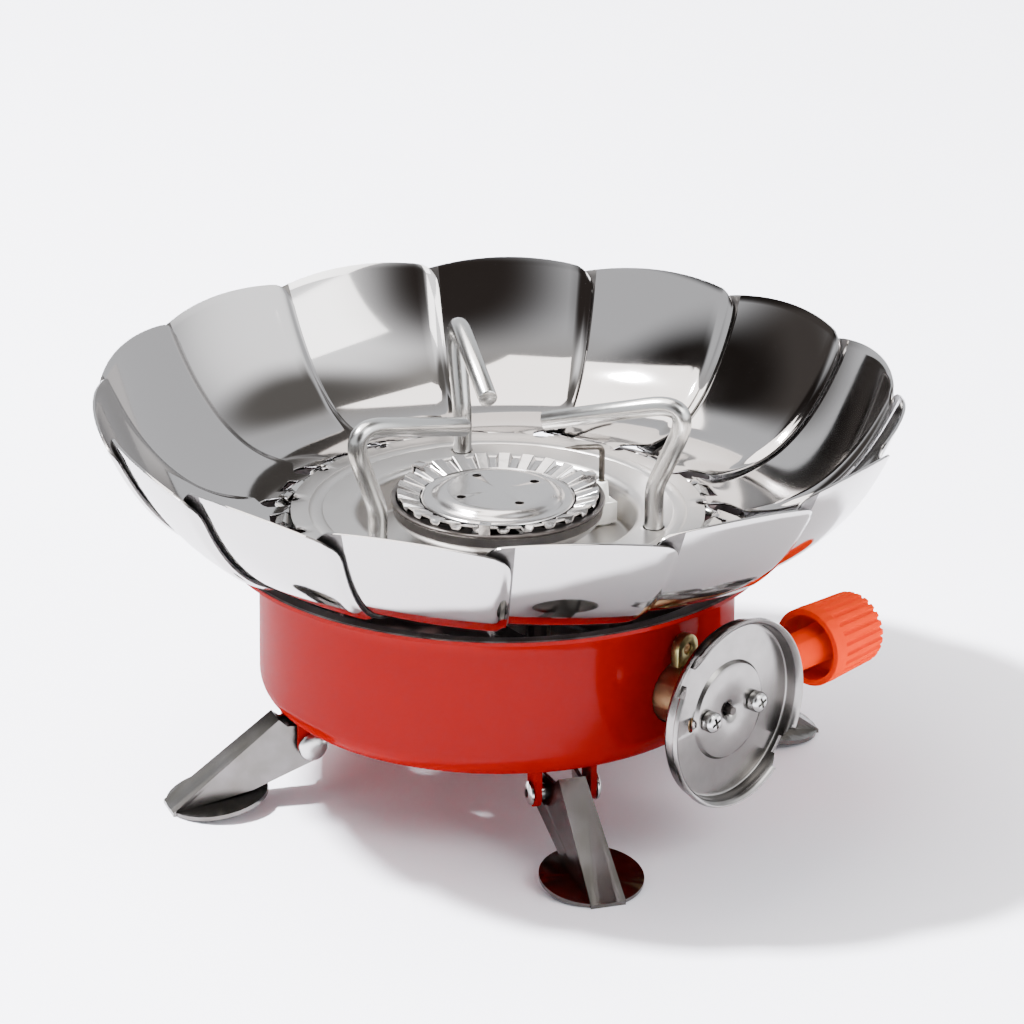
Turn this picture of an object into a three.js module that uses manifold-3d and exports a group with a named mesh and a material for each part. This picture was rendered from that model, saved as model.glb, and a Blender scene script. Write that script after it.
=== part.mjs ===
// Camping gas stove with a folding petal windshield, in millimetres, +Z up.
// It stands on four folding legs. The origin is on the ground, on the axis of the round body.
// Azimuths are degrees from the front, -Y, towards the right, +X.

import * as THREE from "three";
import { mergeVertices } from "three/addons/utils/BufferGeometryUtils.js";
import Module from "manifold-3d";

const wasm = await Module();
wasm.setup();

// Clearances and common sheets
const fit = 0.3;
const runningGap = 0.3;
const overrun = 1;
const thinSheet = 0.5;
const weldReach = 0.0001;

// Body pan
const panRadius = 48;
const panSheet = 0.8;
const panUnderside = 18.4;
const panTop = 51.3;
const panLipRadius = 55.5;
const panCornerRadius = 5;
const panFlareHeight = 6.5;
const airHoles = 6;
const airHoleRadius = 3.5;
const airHoleCircle = 24;

// Legs, their clevises and pins
const legs = 4;
const firstLegAzimuth = 18.85;
const legPivotRadius = 41;
const legPivotHeight = 13;
const legSheet = 0.8;
const legTopReach = 5.9;
const legTopHeight = 17.9;
const legToeReach = 28.3;
const legToeLength = 1.9;
const legTopWidth = 5.6;
const legToeWidth = 7.2;
const legSplay = 11;
const legHeelReach = 12;
const legHeelHeight = 3.9;
const legHeadRadius = 4.2;
const footRadius = 10.4;
const footTilt = 9;
const clevisGap = 10.2;
const clevisSheet = 1.2;
const clevisBase = 0.8;
const clevisEarRadius = 3.4;
const clevisBaseOverhang = 1.2;
const pinRadius = 1.5;
const pinHeadRadius = 3;
const pinHeadHeight = 1.2;
const pinRimRadius = 2.3;
const pinRimHeight = 0.8;
const pinHollowRadius = 0.9;
const pinHollowDepth = 1.4;

// Hub disc
const hubEdgeGap = 1.4;
const hubUnderside = 56.6;
const hubBeadInset = 5;
const hubBeadWidth = 2.4;
const hubBeadHeight = 0.5;
const hubWellRadius = 26.8;
const hubWellWall = 28.2;
const hubWellShoulder = 29.8;
const hubWellFloor = 49.4;
const hubDimpleRadius = 1.6;

// Ring carrier with its eyes, and the stand-offs under it
const carrierInner = 29.1;
const carrierEdgeGap = 3.5;
const carrierThickness = 0.8;
const carrierDrop = 1.6;
const eyeWall = 0.8;
const eyeWidth = 4.6;
const pillars = 3;
const firstPillarAzimuth = 13.4;
const pillarInset = 4.3;
const pillarRadius = 2.5;
const pillarNeckRadius = 1.5;

// Hinge ring
const wireRadius = 0.85;
const hingeRadius = 43;
const hingeHeight = 54.6;
const hingeSkew = 10;
const hingeStraight = 7.5;
const hingeJointGap = 0.4;

// Petals
const petals = 15;
const firstPetalAngle = 18;
const petalRootLift = 1.4;
const petalControlRadius = 67.5;
const petalControlHeight = 50;
const petalRimRadius = 79.8;
const petalRimHeight = 79.5;
const petalHalfAngle = 14.2;
const petalArch = 2.4;
const petalCornerRadius = 4;
const petalLean = 3.6;
const petalLeanReach = 5;
const petalRootWidth = 14.6;
const petalNeckReach = 4;
const petalShoulderReach = 7.5;
const petalNotchWidth = 6.4;
const petalNotchReach = 2.8;
const knuckleInset = 3.4;
const knuckleWidth = 2.6;
const knuckleStart = 70;
const knuckleTurn = 260;

// Burner
const burnerRimRadius = 21.6;
const burnerRimHeight = 59.7;
const burnerSheet = 0.7;
const burnerWallRadius = 21.2;
const burnerFloor = 50.2;
const burnerFloorRadius = 8;
const burnerHaunchRadius = 20.6;
const burnerHaunchHeight = 53.2;
const burnerWallFoot = 57.2;
const flutes = 26;
const fluteSheet = 0.4;
const fluteDrop = 0.9;
const fluteInnerDrop = 0.4;
const fluteTop = 61;
const fluteFoot = 59.4;
const capSheet = 0.5;
const capRadius = 15.5;
const capEdgeRise = 0.4;
const capFloor = 59.1;
const capPlateauHeight = 60.7;
const capPlateauRadius = 10.2;
const capSlopeRadius = 13.9;
const capHoles = 4;
const capHoleRadius = 0.8;
const capHoleCircle = 8.5;
const capHoleShare = 0.34;
const lugs = 3;
const lugWidth = 2.2;
const lugLength = 2.4;
const lugSheet = 0.5;
const firstLugAngle = 23;

// Mixing tube
const tubeRadius = 5.3;
const tubeWall = 0.7;
const tubeBend = 10;
const tubeMouth = 38.4;
const tubeTop = 51.4;
const primaryHoleRadius = 2.4;
const primaryHolePlace = 28;

// Pot supports
const supports = 3;
const firstSupportAzimuth = 73.4;
const supportRodRadius = 1.95;
const supportPivotRadius = 32.5;
const supportBendHeight = 65.5;
const supportCornerReach = 8.2;
const supportCornerHeight = 85;
const supportEndReach = 23.2;
const supportEndHeight = 77;
const supportCornerBend = 5;
const supportFootBend = 10;
const supportFoot = 52.4;
const supportCollarRadius = 3.1;
const supportCollarHeight = 1.6;

// Valve, its bracket and the gas jet
const valveAzimuth = 48;
const valveHeight = 31.5;
const valveNoseStart = 41;
const valveNoseBore = 3.3;
const valveNoseDepth = 3;
const valveStubRadius = 6.4;
const valveStubEnd = 58;
const valvePlate = 2.2;
const valvePlateHalfSpan = 6.9;
const valvePlateEarRadius = 3.4;
const gasBoreRadius = 1.2;
const sealSeatRadius = 3.1;
const sealSeatDepth = 2;
const sealBoreRadius = 1.3;
const inletPinRadius = 0.9;
const inletPinReach = 2.6;
const spindlePlace = 52.3;
const spindleHeight = 31;
const spindleRadius = 1.5;
const spindleTipLength = 3;
const spindleStart = 1.2;
const bossRadius = 4;
const bossEnd = 13.3;
const nutLength = 5;
const nutRadius = 4.4;
const jetShankRadius = 3;
const jetCollarRadius = 4.2;
const jetCollarLength = 2.6;
const jetTipRadius = 1.7;
const jetShoulderRadius = 2.5;
const jetTipLength = 4;
const jetBoreRadius = 0.6;
const bracketPlace = 51;
const bracketThickness = 1.2;
const bracketWidth = 6;
const bracketHoleHeight = 41.3;
const rivetRadius = 0.9;
const rivetHeadRadius = 1.7;
const rivetHeadHeight = 0.7;

// Knob
const knobStart = 35.2;
const knobLength = 15.5;
const knobRimRadius = 8.1;
const knobEndRadius = 7.5;
const knobBand = 3;
const knobRimRound = 0.6;
const knobFlutes = 24;
const knobFluteDepth = 0.7;
const knobWall = 1.3;
const knobHollowDepth = 10.5;
const knobNeckRadius = 3.6;
const knobNeckReach = 12;
const knobSocketDepth = 9;

// Canister flange
const dishRadius = 19.4;
const dishSheet = 0.8;
const dishPlace = 60.5;
const dishRim = 3.4;
const dishLip = 0.7;
const dishPlateauRadius = 9.8;
const dishPlateauRise = 0.9;
const dishFunnelRadius = 3.4;
const dishFunnelDepth = 0.9;
const dishInletRadius = 1.5;
const dishOvalWidth = 2;
const dishOvalHeight = 4;
const dishNotchWidth = 9;
const dishNotchAngle = -38;
const dishNotches = 2;
const flangeScrewPlace = 6.9;
const screwShankRadius = 1.3;
const screwHeadRadius = 2.1;
const screwHeadHeight = 2;
const screwHeadRound = 0.6;
const screwSocketRadius = 1;
const screwSocketDepth = 1;

// Igniter
const sparkAzimuth = 118;
const sparkPlace = 23.8;
const ceramicWidth = 4.6;
const ceramicTop = 54.6;
const ceramicStemRadius = 2;
const ceramicStemEnd = 44.5;
const ceramicPostWidth = 3.2;
const ceramicPostTop = 58.8;
const ceramicPostShift = 0.1;
const ceramicPostTaper = 0.3;
const electrodeRadius = 0.6;
const electrodeHeight = 66.2;
const electrodeRise = 1.2;
const electrodeReach = 8.7;
const electrodeBend = 1.5;
const electrodeTaper = 3;
const electrodeFoot = 51;
const leadRadius = 1;
const leadGap = 0.3;
const piezoAzimuth = 154;
const piezoHeight = 35;
const piezoRadius = 5;
const piezoInnerEnd = 23;
const piezoOuterEnd = 50.6;
const piezoShoulder = 45.4;
const piezoShoulderRadius = 6.4;
const piezoBoreRadius = 3.9;
const piezoBoreStart = 42;
const buttonCrown = 0.8;
const buttonRadius = 3.6;
const buttonEnd = 55;
const buttonTravel = 3.6;
const buttonFlangeLength = 1.4;
const piezoNutRadius = 7.4;
const piezoNutLength = 2;

// Facet counts
const roundSides = 12;
const barSides = 8;
const wideSides = 40;
const dishSides = 26;
const smallSides = 6;
const boreSides = 16;
const pinSides = 8;
const arcSteps = 3;
const bendSteps = 3;
const knuckleSteps = 6;

const degree = Math.PI / 180;
const quarterTurn = Math.PI / 2;
const fullTurn = 2 * Math.PI;

const finish = (color, metalness, roughness) =>
  new THREE.MeshStandardMaterial({ color, metalness, roughness });
const redEnamel = finish(0xc9281c, 0, 0.25);
const polishedSteel = finish(0xc9c9c8, 1, 0.12);
const pressedSteel = finish(0xbdbdbb, 1, 0.3);
const zincSteel = finish(0xaeb2b4, 1, 0.35);
const oliveZinc = finish(0x8d8452, 1, 0.4);
const brass = finish(0xa9835a, 1, 0.4);
const orangePlastic = finish(0xf55a14, 0, 0.45);
const darkPlastic = finish(0x26262a, 0, 0.5);
const ceramic = finish(0xe8e4d8, 0, 0.35);
const rubber = finish(0x202020, 0, 0.8);

const stove = new THREE.Group();

// A closed geometry as a solid: equal corners are joined and flat slivers are dropped.
function solid(geometry) {
  const bare = new THREE.BufferGeometry();
  bare.setAttribute("position", geometry.getAttribute("position"));
  bare.setIndex(geometry.index);
  const joined = mergeVertices(bare, weldReach);
  const corners = [];
  for (let i = 0; i < joined.index.count; i += 3) {
    const [a, b, c] = joined.index.array.slice(i, i + 3);
    if (a !== b && b !== c && c !== a) corners.push(a, b, c);
  }
  const vertProperties = joined.attributes.position.array;
  const triVerts = new Uint32Array(corners);
  return new wasm.Manifold(new wasm.Mesh({ numProp: 3, vertProperties, triVerts }));
}

// A solid as a geometry again
function surface(made) {
  const mesh = made.getMesh();
  const geometry = new THREE.BufferGeometry();
  geometry.setAttribute("position", new THREE.BufferAttribute(mesh.vertProperties, 3));
  geometry.setIndex(new THREE.BufferAttribute(mesh.triVerts, 1));
  geometry.computeVertexNormals();
  return geometry;
}

const join = (...pieces) => surface(pieces.map(solid).reduce((a, b) => a.add(b)));
const cut = (piece, ...tools) =>
  surface(tools.map(solid).reduce((a, b) => a.subtract(b), solid(piece)));

// A ring or round body turned about Z from a closed outline of [radius, height] points
function turned(outline, sides) {
  const points = outline.map(([r, z]) => new THREE.Vector2(r, z));
  return new THREE.LatheGeometry([...points, points[0]], sides).rotateX(quarterTurn);
}

// The outline of a pressed sheet: the line of its lower face, thickened to the left of its run
function sheetOutline(line, thickness) {
  const other = line.map(([r, z], i) => {
    const before = line[Math.max(i - 1, 0)];
    const after = line[Math.min(i + 1, line.length - 1)];
    const arriving = new THREE.Vector2(r - before[0], z - before[1]).normalize();
    const leaving = new THREE.Vector2(after[0] - r, after[1] - z).normalize();
    if (i === 0) arriving.copy(leaving);
    if (i === line.length - 1) leaving.copy(arriving);
    const mitre = thickness / (1 + arriving.dot(leaving));
    return [r - (arriving.y + leaving.y) * mitre, z + (arriving.x + leaving.x) * mitre];
  });
  return [...line, ...other.reverse()];
}

// Points of a quadratic curve from one [r, z] place to another
function curved(start, control, end, steps) {
  const [a, b, c] = [start, control, end].map(([r, z]) => new THREE.Vector2(r, z));
  return new THREE.QuadraticBezierCurve(a, b, c).getPoints(steps).map((p) => [p.x, p.y]);
}

// Points of an arc, angles in degrees
function arc(r, z, radius, from, to, steps) {
  return Array.from({ length: steps + 1 }, (_, i) => {
    const angle = (from + ((to - from) * i) / steps) * degree;
    return [r + radius * Math.cos(angle), z + radius * Math.sin(angle)];
  });
}

// Round bars along Z, X and Y
const bar = (radius, from, to, sides = roundSides) =>
  new THREE.CylinderGeometry(radius, radius, to - from, sides)
    .rotateX(quarterTurn)
    .translate(0, 0, (from + to) / 2);
const alongX = (geometry) => geometry.rotateY(quarterTurn);
const alongY = (geometry) => geometry.rotateX(-quarterTurn);

// A box from its limits on each axis
const block = ([x0, x1], [y0, y1], [z0, z1]) =>
  new THREE.BoxGeometry(x1 - x0, y1 - y0, z1 - z0)
    .translate((x0 + x1) / 2, (y0 + y1) / 2, (z0 + z1) / 2);

// A flat plate from a closed outline of [x, y] points
const flatShape = (points) => new THREE.Shape(points.map(([x, y]) => new THREE.Vector2(x, y)));
const plate = (points, thickness) =>
  new THREE.ExtrudeGeometry(flatShape(points), { depth: thickness, bevelEnabled: false });

// A plate that stands in the radial plane, its outline in [radius, height] points
const standing = (points, from, to) =>
  plate(points, to - from).rotateX(quarterTurn).translate(0, to, 0);

// A path with one section of its rod at each of the given points
class Stations extends THREE.Curve {
  constructor(points) {
    super();
    this.points = points;
  }
  place(u) {
    return Math.round(u * (this.points.length - 1));
  }
  getPointAt(u, target = new THREE.Vector3()) {
    return target.copy(this.points[this.place(u)]);
  }
  getTangentAt(u, target = new THREE.Vector3()) {
    const i = this.place(u);
    const here = this.points[i];
    const back = here.clone().sub(this.points[Math.max(i - 1, 0)]).normalize();
    const ahead = this.points[Math.min(i + 1, this.points.length - 1)].clone().sub(here).normalize();
    return target.copy(back.add(ahead)).normalize();
  }
}

// A round rod through the points of its centre line
function rod(points, radius, sides = barSides) {
  const section = flatShape(arc(0, 0, radius, 0, 360 - 360 / sides, sides - 1));
  const extrudePath = new Stations(points);
  return new THREE.ExtrudeGeometry(section, { steps: points.length - 1, extrudePath });
}

// The centre line of a bent rod, each corner rounded to the bend radius given for it
function bentPath(corners, bends, steps = bendSteps) {
  const path = [corners[0]];
  bends.forEach((bend, i) => {
    const corner = corners[i + 1];
    const back = corners[i].clone().sub(corner).normalize();
    const ahead = corners[i + 2].clone().sub(corner).normalize();
    const trim = bend / Math.tan(back.angleTo(ahead) / 2);
    const start = corner.clone().addScaledVector(back, trim);
    const end = corner.clone().addScaledVector(ahead, trim);
    path.push(...new THREE.QuadraticBezierCurve3(start, corner, end).getPoints(steps));
  });
  path.push(corners.at(-1));
  return path;
}

// A skin over rows of equally many points, row after row, closed from the last row to the first
function closedRows(rows) {
  const across = rows[0].length;
  const position = new THREE.Float32BufferAttribute(rows.flat().flatMap((p) => p.toArray()), 3);
  const index = [];
  rows.forEach((_, i) => {
    for (let j = 0; j < across; j += 1) {
      const here = i * across;
      const next = ((i + 1) % rows.length) * across;
      const k = (j + 1) % across;
      index.push(here + j, here + k, next + k, here + j, next + k, next + j);
    }
  });
  const geometry = new THREE.BufferGeometry().setAttribute("position", position);
  return geometry.setIndex(index);
}

// A sheet of even thickness about a grid of points on its middle surface
function gridSheet(grid, thickness) {
  const rows = grid.length;
  const across = grid[0].length;
  const at = (i, j) => grid[Math.min(Math.max(i, 0), rows - 1)][Math.min(Math.max(j, 0), across - 1)];
  const faces = [1, -1].map((side) =>
    grid.map((row, i) =>
      row.map((p, j) => {
        const along = at(i + 1, j).clone().sub(at(i - 1, j));
        const over = at(i, j + 1).clone().sub(at(i, j - 1));
        const normal = along.cross(over).normalize();
        return p.clone().addScaledVector(normal, (side * thickness) / 2);
      }),
    ),
  );
  const position = faces.flat(2).flatMap((p) => p.toArray());
  const geometry = new THREE.BufferGeometry();
  geometry.setAttribute("position", new THREE.Float32BufferAttribute(position, 3));
  const id = (side, i, j) => (side * rows + i) * across + j;
  const index = [];
  const quad = (a, b, c, d) => index.push(a, b, c, a, c, d);
  for (let i = 0; i < rows - 1; i += 1) {
    for (let j = 0; j < across - 1; j += 1) {
      quad(id(0, i, j), id(0, i + 1, j), id(0, i + 1, j + 1), id(0, i, j + 1));
      quad(id(1, i, j), id(1, i, j + 1), id(1, i + 1, j + 1), id(1, i + 1, j));
    }
    quad(id(0, i, 0), id(1, i, 0), id(1, i + 1, 0), id(0, i + 1, 0));
    quad(id(0, i + 1, across - 1), id(1, i + 1, across - 1), id(1, i, across - 1), id(0, i, across - 1));
  }
  for (let j = 0; j < across - 1; j += 1) {
    quad(id(0, 0, j), id(0, 0, j + 1), id(1, 0, j + 1), id(1, 0, j));
    quad(id(0, rows - 1, j + 1), id(0, rows - 1, j), id(1, rows - 1, j), id(1, rows - 1, j + 1));
  }
  return geometry.setIndex(index);
}

// A geometry turned by an angle in radians about a line through a point
const turnedAbout = (geometry, point, direction, angle) =>
  geometry
    .translate(-point.x, -point.y, -point.z)
    .applyMatrix4(new THREE.Matrix4().makeRotationAxis(direction.clone().normalize(), angle))
    .translate(point.x, point.y, point.z);

// A group whose +X points outwards at an azimuth, +Y along the body's round
function facing(azimuth) {
  const group = new THREE.Group();
  group.rotation.z = (azimuth - 90) * degree;
  stove.add(group);
  group.updateMatrixWorld(true);
  return group;
}

// A cutting tool made in a group's frame, brought into the stove's frame
const inStove = (geometry, group) => geometry.clone().applyMatrix4(group.matrixWorld);

function add(group, name, geometry, material) {
  const mesh = new THREE.Mesh(geometry, material);
  mesh.name = name;
  group.add(mesh);
  return mesh;
}

// Turns a geometry about Z by an angle in degrees
const aboutZ = (geometry, angle) => geometry.rotateZ(angle * degree);

const valveGroup = facing(valveAzimuth);
const sparkGroup = facing(sparkAzimuth);
const piezoGroup = facing(piezoAzimuth);

const hubRadius = hingeRadius - hubEdgeGap;
const hubBeadRadius = hubRadius - hubBeadInset;
const carrierOuter = hingeRadius - carrierEdgeGap;
const pillarCircle = carrierOuter - pillarInset;
const hubTop = hubUnderside + thinSheet;
const carrierTop = hubUnderside - carrierDrop;
const carrierUnderside = carrierTop - carrierThickness;
const rootHeight = hingeHeight + petalRootLift;
const eyeInner = wireRadius + runningGap;
const pillarAzimuths = Array.from({ length: pillars }, (_, i) => firstPillarAzimuth + (360 / pillars) * i);
const supportAzimuths = Array.from({ length: supports }, (_, i) => firstSupportAzimuth + (360 / supports) * i);

// The pan: a deep-drawn shell with a flared lip, open upwards
function makePan() {
  const flareFoot = panTop - panFlareHeight;
  const cornerCentre = [panRadius - panCornerRadius, panUnderside + panCornerRadius];
  const lipFoot = panTop - panSheet;
  const flare = curved([panRadius, flareFoot], [panRadius, lipFoot], [panLipRadius, lipFoot], arcSteps);
  const line = [
    [0, panUnderside],
    ...arc(...cornerCentre, panCornerRadius, -90, 0, arcSteps),
    ...flare,
  ];
  const shell = turned(sheetOutline(line, panSheet), wideSides);
  const hole = () => bar(airHoleRadius, panUnderside - overrun, panUnderside + panSheet + overrun, barSides);
  const air = Array.from({ length: airHoles }, (_, i) =>
    aboutZ(hole().translate(airHoleCircle, 0, 0), (360 / airHoles) * i),
  );
  const wall = [panRadius - panCornerRadius, panRadius + overrun];
  const stubHole = alongX(bar(valveStubRadius + fit, ...wall, boreSides)).translate(0, 0, valveHeight);
  const rivetHole = alongX(bar(rivetRadius + fit, ...wall)).translate(0, 0, bracketHoleHeight);
  const piezoHole = alongX(bar(piezoRadius + fit, ...wall, boreSides)).translate(0, 0, piezoHeight);
  const tools = [inStove(stubHole, valveGroup), inStove(rivetHole, valveGroup), inStove(piezoHole, piezoGroup)];
  add(stove, "body_pan", cut(shell, ...air, ...tools), redEnamel);
}

// A clevis: two ears and the base between them, welded under the pan
function makeClevis(group, number) {
  const earOuter = clevisGap / 2 + clevisSheet;
  const top = panUnderside;
  const ear = [
    [legPivotRadius + clevisEarRadius, top],
    [legPivotRadius - clevisEarRadius, top],
    ...arc(legPivotRadius, legPivotHeight, clevisEarRadius, 180, 360, arcSteps * 2),
  ];
  const ears = [-1, 1].map((side) => {
    const from = side < 0 ? -earOuter : clevisGap / 2;
    return standing(ear, from, from + clevisSheet);
  });
  const baseReach = [legPivotRadius - clevisEarRadius, legPivotRadius + clevisBaseOverhang];
  const base = block(baseReach, [-earOuter, earOuter], [top - clevisBase, top]);
  const bore = alongY(bar(pinRadius + fit, -earOuter - overrun, earOuter + overrun))
    .translate(legPivotRadius, 0, legPivotHeight);
  add(group, `leg_bracket_${number}`, cut(join(base, ...ears), bore), redEnamel);
}

// A leg: a stamped channel with splayed sides, whose toe is folded back into a round foot
function makeLeg(group, number) {
  const legTopRadius = legPivotRadius + legTopReach;
  const legToeRadius = legPivotRadius + legToeReach;
  const legHeelRadius = legPivotRadius + legHeelReach;
  const slope = Math.atan2(legTopHeight - legSheet, legToeRadius - legTopRadius);
  const top = new THREE.Vector3(legTopRadius, 0, legTopHeight);
  const down = new THREE.Vector3(Math.cos(slope), 0, -Math.sin(slope));
  const length = (legToeRadius - legTopRadius) / Math.cos(slope);
  const taper = Math.atan2((legToeWidth - legTopWidth) / 2, length);
  const web = plate(
    [
      [0, -legTopWidth / 2],
      [length, -legToeWidth / 2],
      [length, legToeWidth / 2],
      [0, legTopWidth / 2],
    ],
    legSheet,
  )
    .translate(0, 0, -legSheet)
    .rotateY(slope)
    .translate(top.x, 0, top.z);
  const heelReach = Math.hypot(legHeelReach, legPivotHeight - legHeelHeight);
  const heelAngle = Math.atan2(legHeelHeight - legPivotHeight, legHeelReach) / degree;
  const tangentAngle = heelAngle - Math.acos(legHeadRadius / heelReach) / degree;
  const headTop = legPivotHeight + legHeadRadius - legSheet;
  const topAngle = 180 - Math.asin((headTop - legPivotHeight) / legHeadRadius) / degree;
  const side = [
    [legTopRadius, legTopHeight],
    [legPivotRadius + legHeadRadius, headTop],
    ...arc(legPivotRadius, legPivotHeight, legHeadRadius, topAngle, 360 + tangentAngle, arcSteps * 2),
    [legHeelRadius, legHeelHeight],
    [legToeRadius - legToeLength / 2, legSheet],
    [legToeRadius, legSheet],
  ];
  const sides = [-1, 1].map((way) => {
    const edge = (way * legTopWidth) / 2;
    const sheet = standing(side, edge - (way > 0 ? legSheet : 0), edge + (way > 0 ? 0 : legSheet));
    const hinge = new THREE.Vector3(top.x, edge, top.z);
    turnedAbout(sheet, hinge, down, way * legSplay * degree);
    return turnedAbout(sheet, hinge, new THREE.Vector3(0, 0, 1), way * taper);
  });
  const toe = block([legToeRadius - legToeLength, legToeRadius], [-legToeWidth / 2, legToeWidth / 2], [0, legSheet]);
  const foot = bar(footRadius, 0, legSheet, boreSides)
    .translate(-footRadius, 0, 0)
    .rotateY(footTilt * degree)
    .translate(legToeRadius, 0, 0);
  const bore = alongY(bar(pinRadius + fit, -clevisGap, clevisGap)).translate(legPivotRadius, 0, legPivotHeight);
  add(group, `leg_${number}`, cut(join(web, ...sides, toe, foot), bore), polishedSteel);
}

// A leg pin: a rivet with a domed head on one side and a rolled hollow rim on the other
function makeLegPin(group, number) {
  const seat = clevisGap / 2 + clevisSheet + fit;
  const outline = [
    [0, -seat - pinRimHeight + pinHollowDepth],
    [pinHollowRadius, -seat - pinRimHeight + pinHollowDepth],
    [pinHollowRadius, -seat - pinRimHeight],
    [pinRimRadius, -seat - pinRimHeight / 2],
    [pinRimRadius, -seat],
    [pinRadius, -seat],
    [pinRadius, seat],
    [pinHeadRadius, seat],
    [pinHeadRadius, seat + pinHeadHeight / 2],
    [pinHeadRadius / 2, seat + pinHeadHeight],
    [0, seat + pinHeadHeight],
  ];
  const pin = alongY(turned(outline, pinSides)).translate(legPivotRadius, 0, legPivotHeight);
  add(group, `leg_pin_${number}`, surface(solid(pin)), zincSteel);
}

// The hub disc: a dished cover with a bead, a well for the burner and holes for what passes through
function makeHubDisc() {
  const beadInner = hubBeadRadius - hubBeadWidth / 2;
  const beadOuter = hubBeadRadius + hubBeadWidth / 2;
  const shoulderDrop = hubWellShoulder - hubWellWall;
  const line = [
    [tubeRadius + fit, hubWellFloor],
    [hubWellRadius, hubWellFloor],
    ...curved(
      [hubWellWall, hubUnderside - shoulderDrop],
      [hubWellWall, hubUnderside],
      [hubWellShoulder, hubUnderside],
      2,
    ),
    [beadInner, hubUnderside],
    [hubBeadRadius, hubUnderside + hubBeadHeight],
    [beadOuter, hubUnderside],
    [hubRadius, hubUnderside],
  ];
  const disc = turned(sheetOutline(line, thinSheet), wideSides);
  const through = [hubWellFloor - overrun, hubTop + hubBeadHeight + overrun];
  const supportHoles = supportAzimuths.map((azimuth) =>
    aboutZ(bar(supportRodRadius + fit, ...through).translate(supportPivotRadius, 0, 0), azimuth - 90),
  );
  const stemHole = inStove(bar(ceramicStemRadius + fit, ...through).translate(sparkPlace, 0, 0), sparkGroup);
  const dimples = Array.from({ length: petals }, (_, i) =>
    aboutZ(bar(hubDimpleRadius, ...through, smallSides).translate(hubRadius, 0, 0), firstPetalAngle + (360 / petals) * (i + 0.5)),
  );
  add(stove, "hub_disc", cut(disc, ...supportHoles, stemHole, ...dimples), polishedSteel);
}

// The carrier: a flat ring under the hub disc with one closed eye for each petal
function makeCarrier() {
  const body = turned(
    [
      [carrierInner, carrierUnderside],
      [carrierOuter, carrierUnderside],
      [carrierOuter, carrierTop],
      [carrierInner, carrierTop],
    ],
    petals * 2,
  );
  const eyeOuter = eyeInner + eyeWall;
  const skew = (geometry) => geometry.rotateZ(-hingeSkew * degree).translate(hingeRadius, 0, 0);
  const petalAngles = Array.from({ length: petals }, (_, i) => firstPetalAngle + (360 / petals) * i);
  const strips = petalAngles.map((angle) =>
    aboutZ(
      block(
        [carrierOuter - carrierThickness, hingeRadius],
        [-eyeWidth / 2, eyeWidth / 2],
        [carrierUnderside, carrierTop],
      ),
      angle,
    ),
  );
  const eyes = petalAngles.map((angle) =>
    aboutZ(skew(alongY(bar(eyeOuter, -eyeWidth / 2, eyeWidth / 2, smallSides)).translate(0, 0, hingeHeight)), angle),
  );
  const bores = petalAngles.map((angle) =>
    aboutZ(skew(alongY(bar(eyeInner, -eyeWidth, eyeWidth, pinSides)).translate(0, 0, hingeHeight)), angle),
  );
  const through = [carrierUnderside - overrun, carrierTop + overrun];
  const holes = [
    ...supportAzimuths.map((azimuth) =>
      aboutZ(bar(supportRodRadius + fit, ...through).translate(supportPivotRadius, 0, 0), azimuth - 90),
    ),
    ...pillarAzimuths.map((azimuth) =>
      aboutZ(bar(pillarNeckRadius + fit, ...through).translate(pillarCircle, 0, 0), azimuth - 90),
    ),
  ];
  add(stove, "ring_carrier", cut(join(body, ...strips, ...eyes), ...bores, ...holes), zincSteel);
}

// The hinge ring: one wire bent so that each petal turns on a straight, slightly skewed stretch
function makeHingeRing() {
  const skew = new THREE.Vector3(Math.sin(hingeSkew * degree), Math.cos(hingeSkew * degree), 0);
  const up = new THREE.Vector3(0, 0, 1);
  const points = [];
  for (let i = 0; i < petals; i += 1) {
    for (const side of [-1, 1]) {
      const along = new THREE.Vector3(hingeRadius, 0, hingeHeight).addScaledVector(skew, side * hingeStraight);
      points.push(along.applyAxisAngle(up, (firstPetalAngle + (360 / petals) * i) * degree));
    }
  }
  const last = points.at(-1);
  const across = points[0].clone().sub(last).normalize();
  const middle = points[0].clone().add(last).multiplyScalar(0.5);
  points.unshift(middle.clone().addScaledVector(across, hingeJointGap / 2));
  points.push(middle.clone().addScaledVector(across, -hingeJointGap / 2));
  add(stove, "hinge_ring", surface(solid(rod(points, wireRadius, pinSides))), zincSteel);
}

// The stand-offs that carry the ring carrier on the pan's floor
function makePillars() {
  pillarAzimuths.forEach((azimuth, i) => {
    const foot = panUnderside + panSheet + fit;
    const outline = [
      [0, foot],
      [pillarRadius, foot],
      [pillarRadius, carrierUnderside - fit],
      [pillarNeckRadius, carrierUnderside - fit],
      [pillarNeckRadius, carrierTop],
      [0, carrierTop],
    ];
    const pillar = turned(outline, roundSides).translate(pillarCircle, 0, 0);
    add(facing(azimuth), `hub_pillar_${i + 1}`, surface(solid(pillar)), zincSteel);
  });
}

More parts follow.
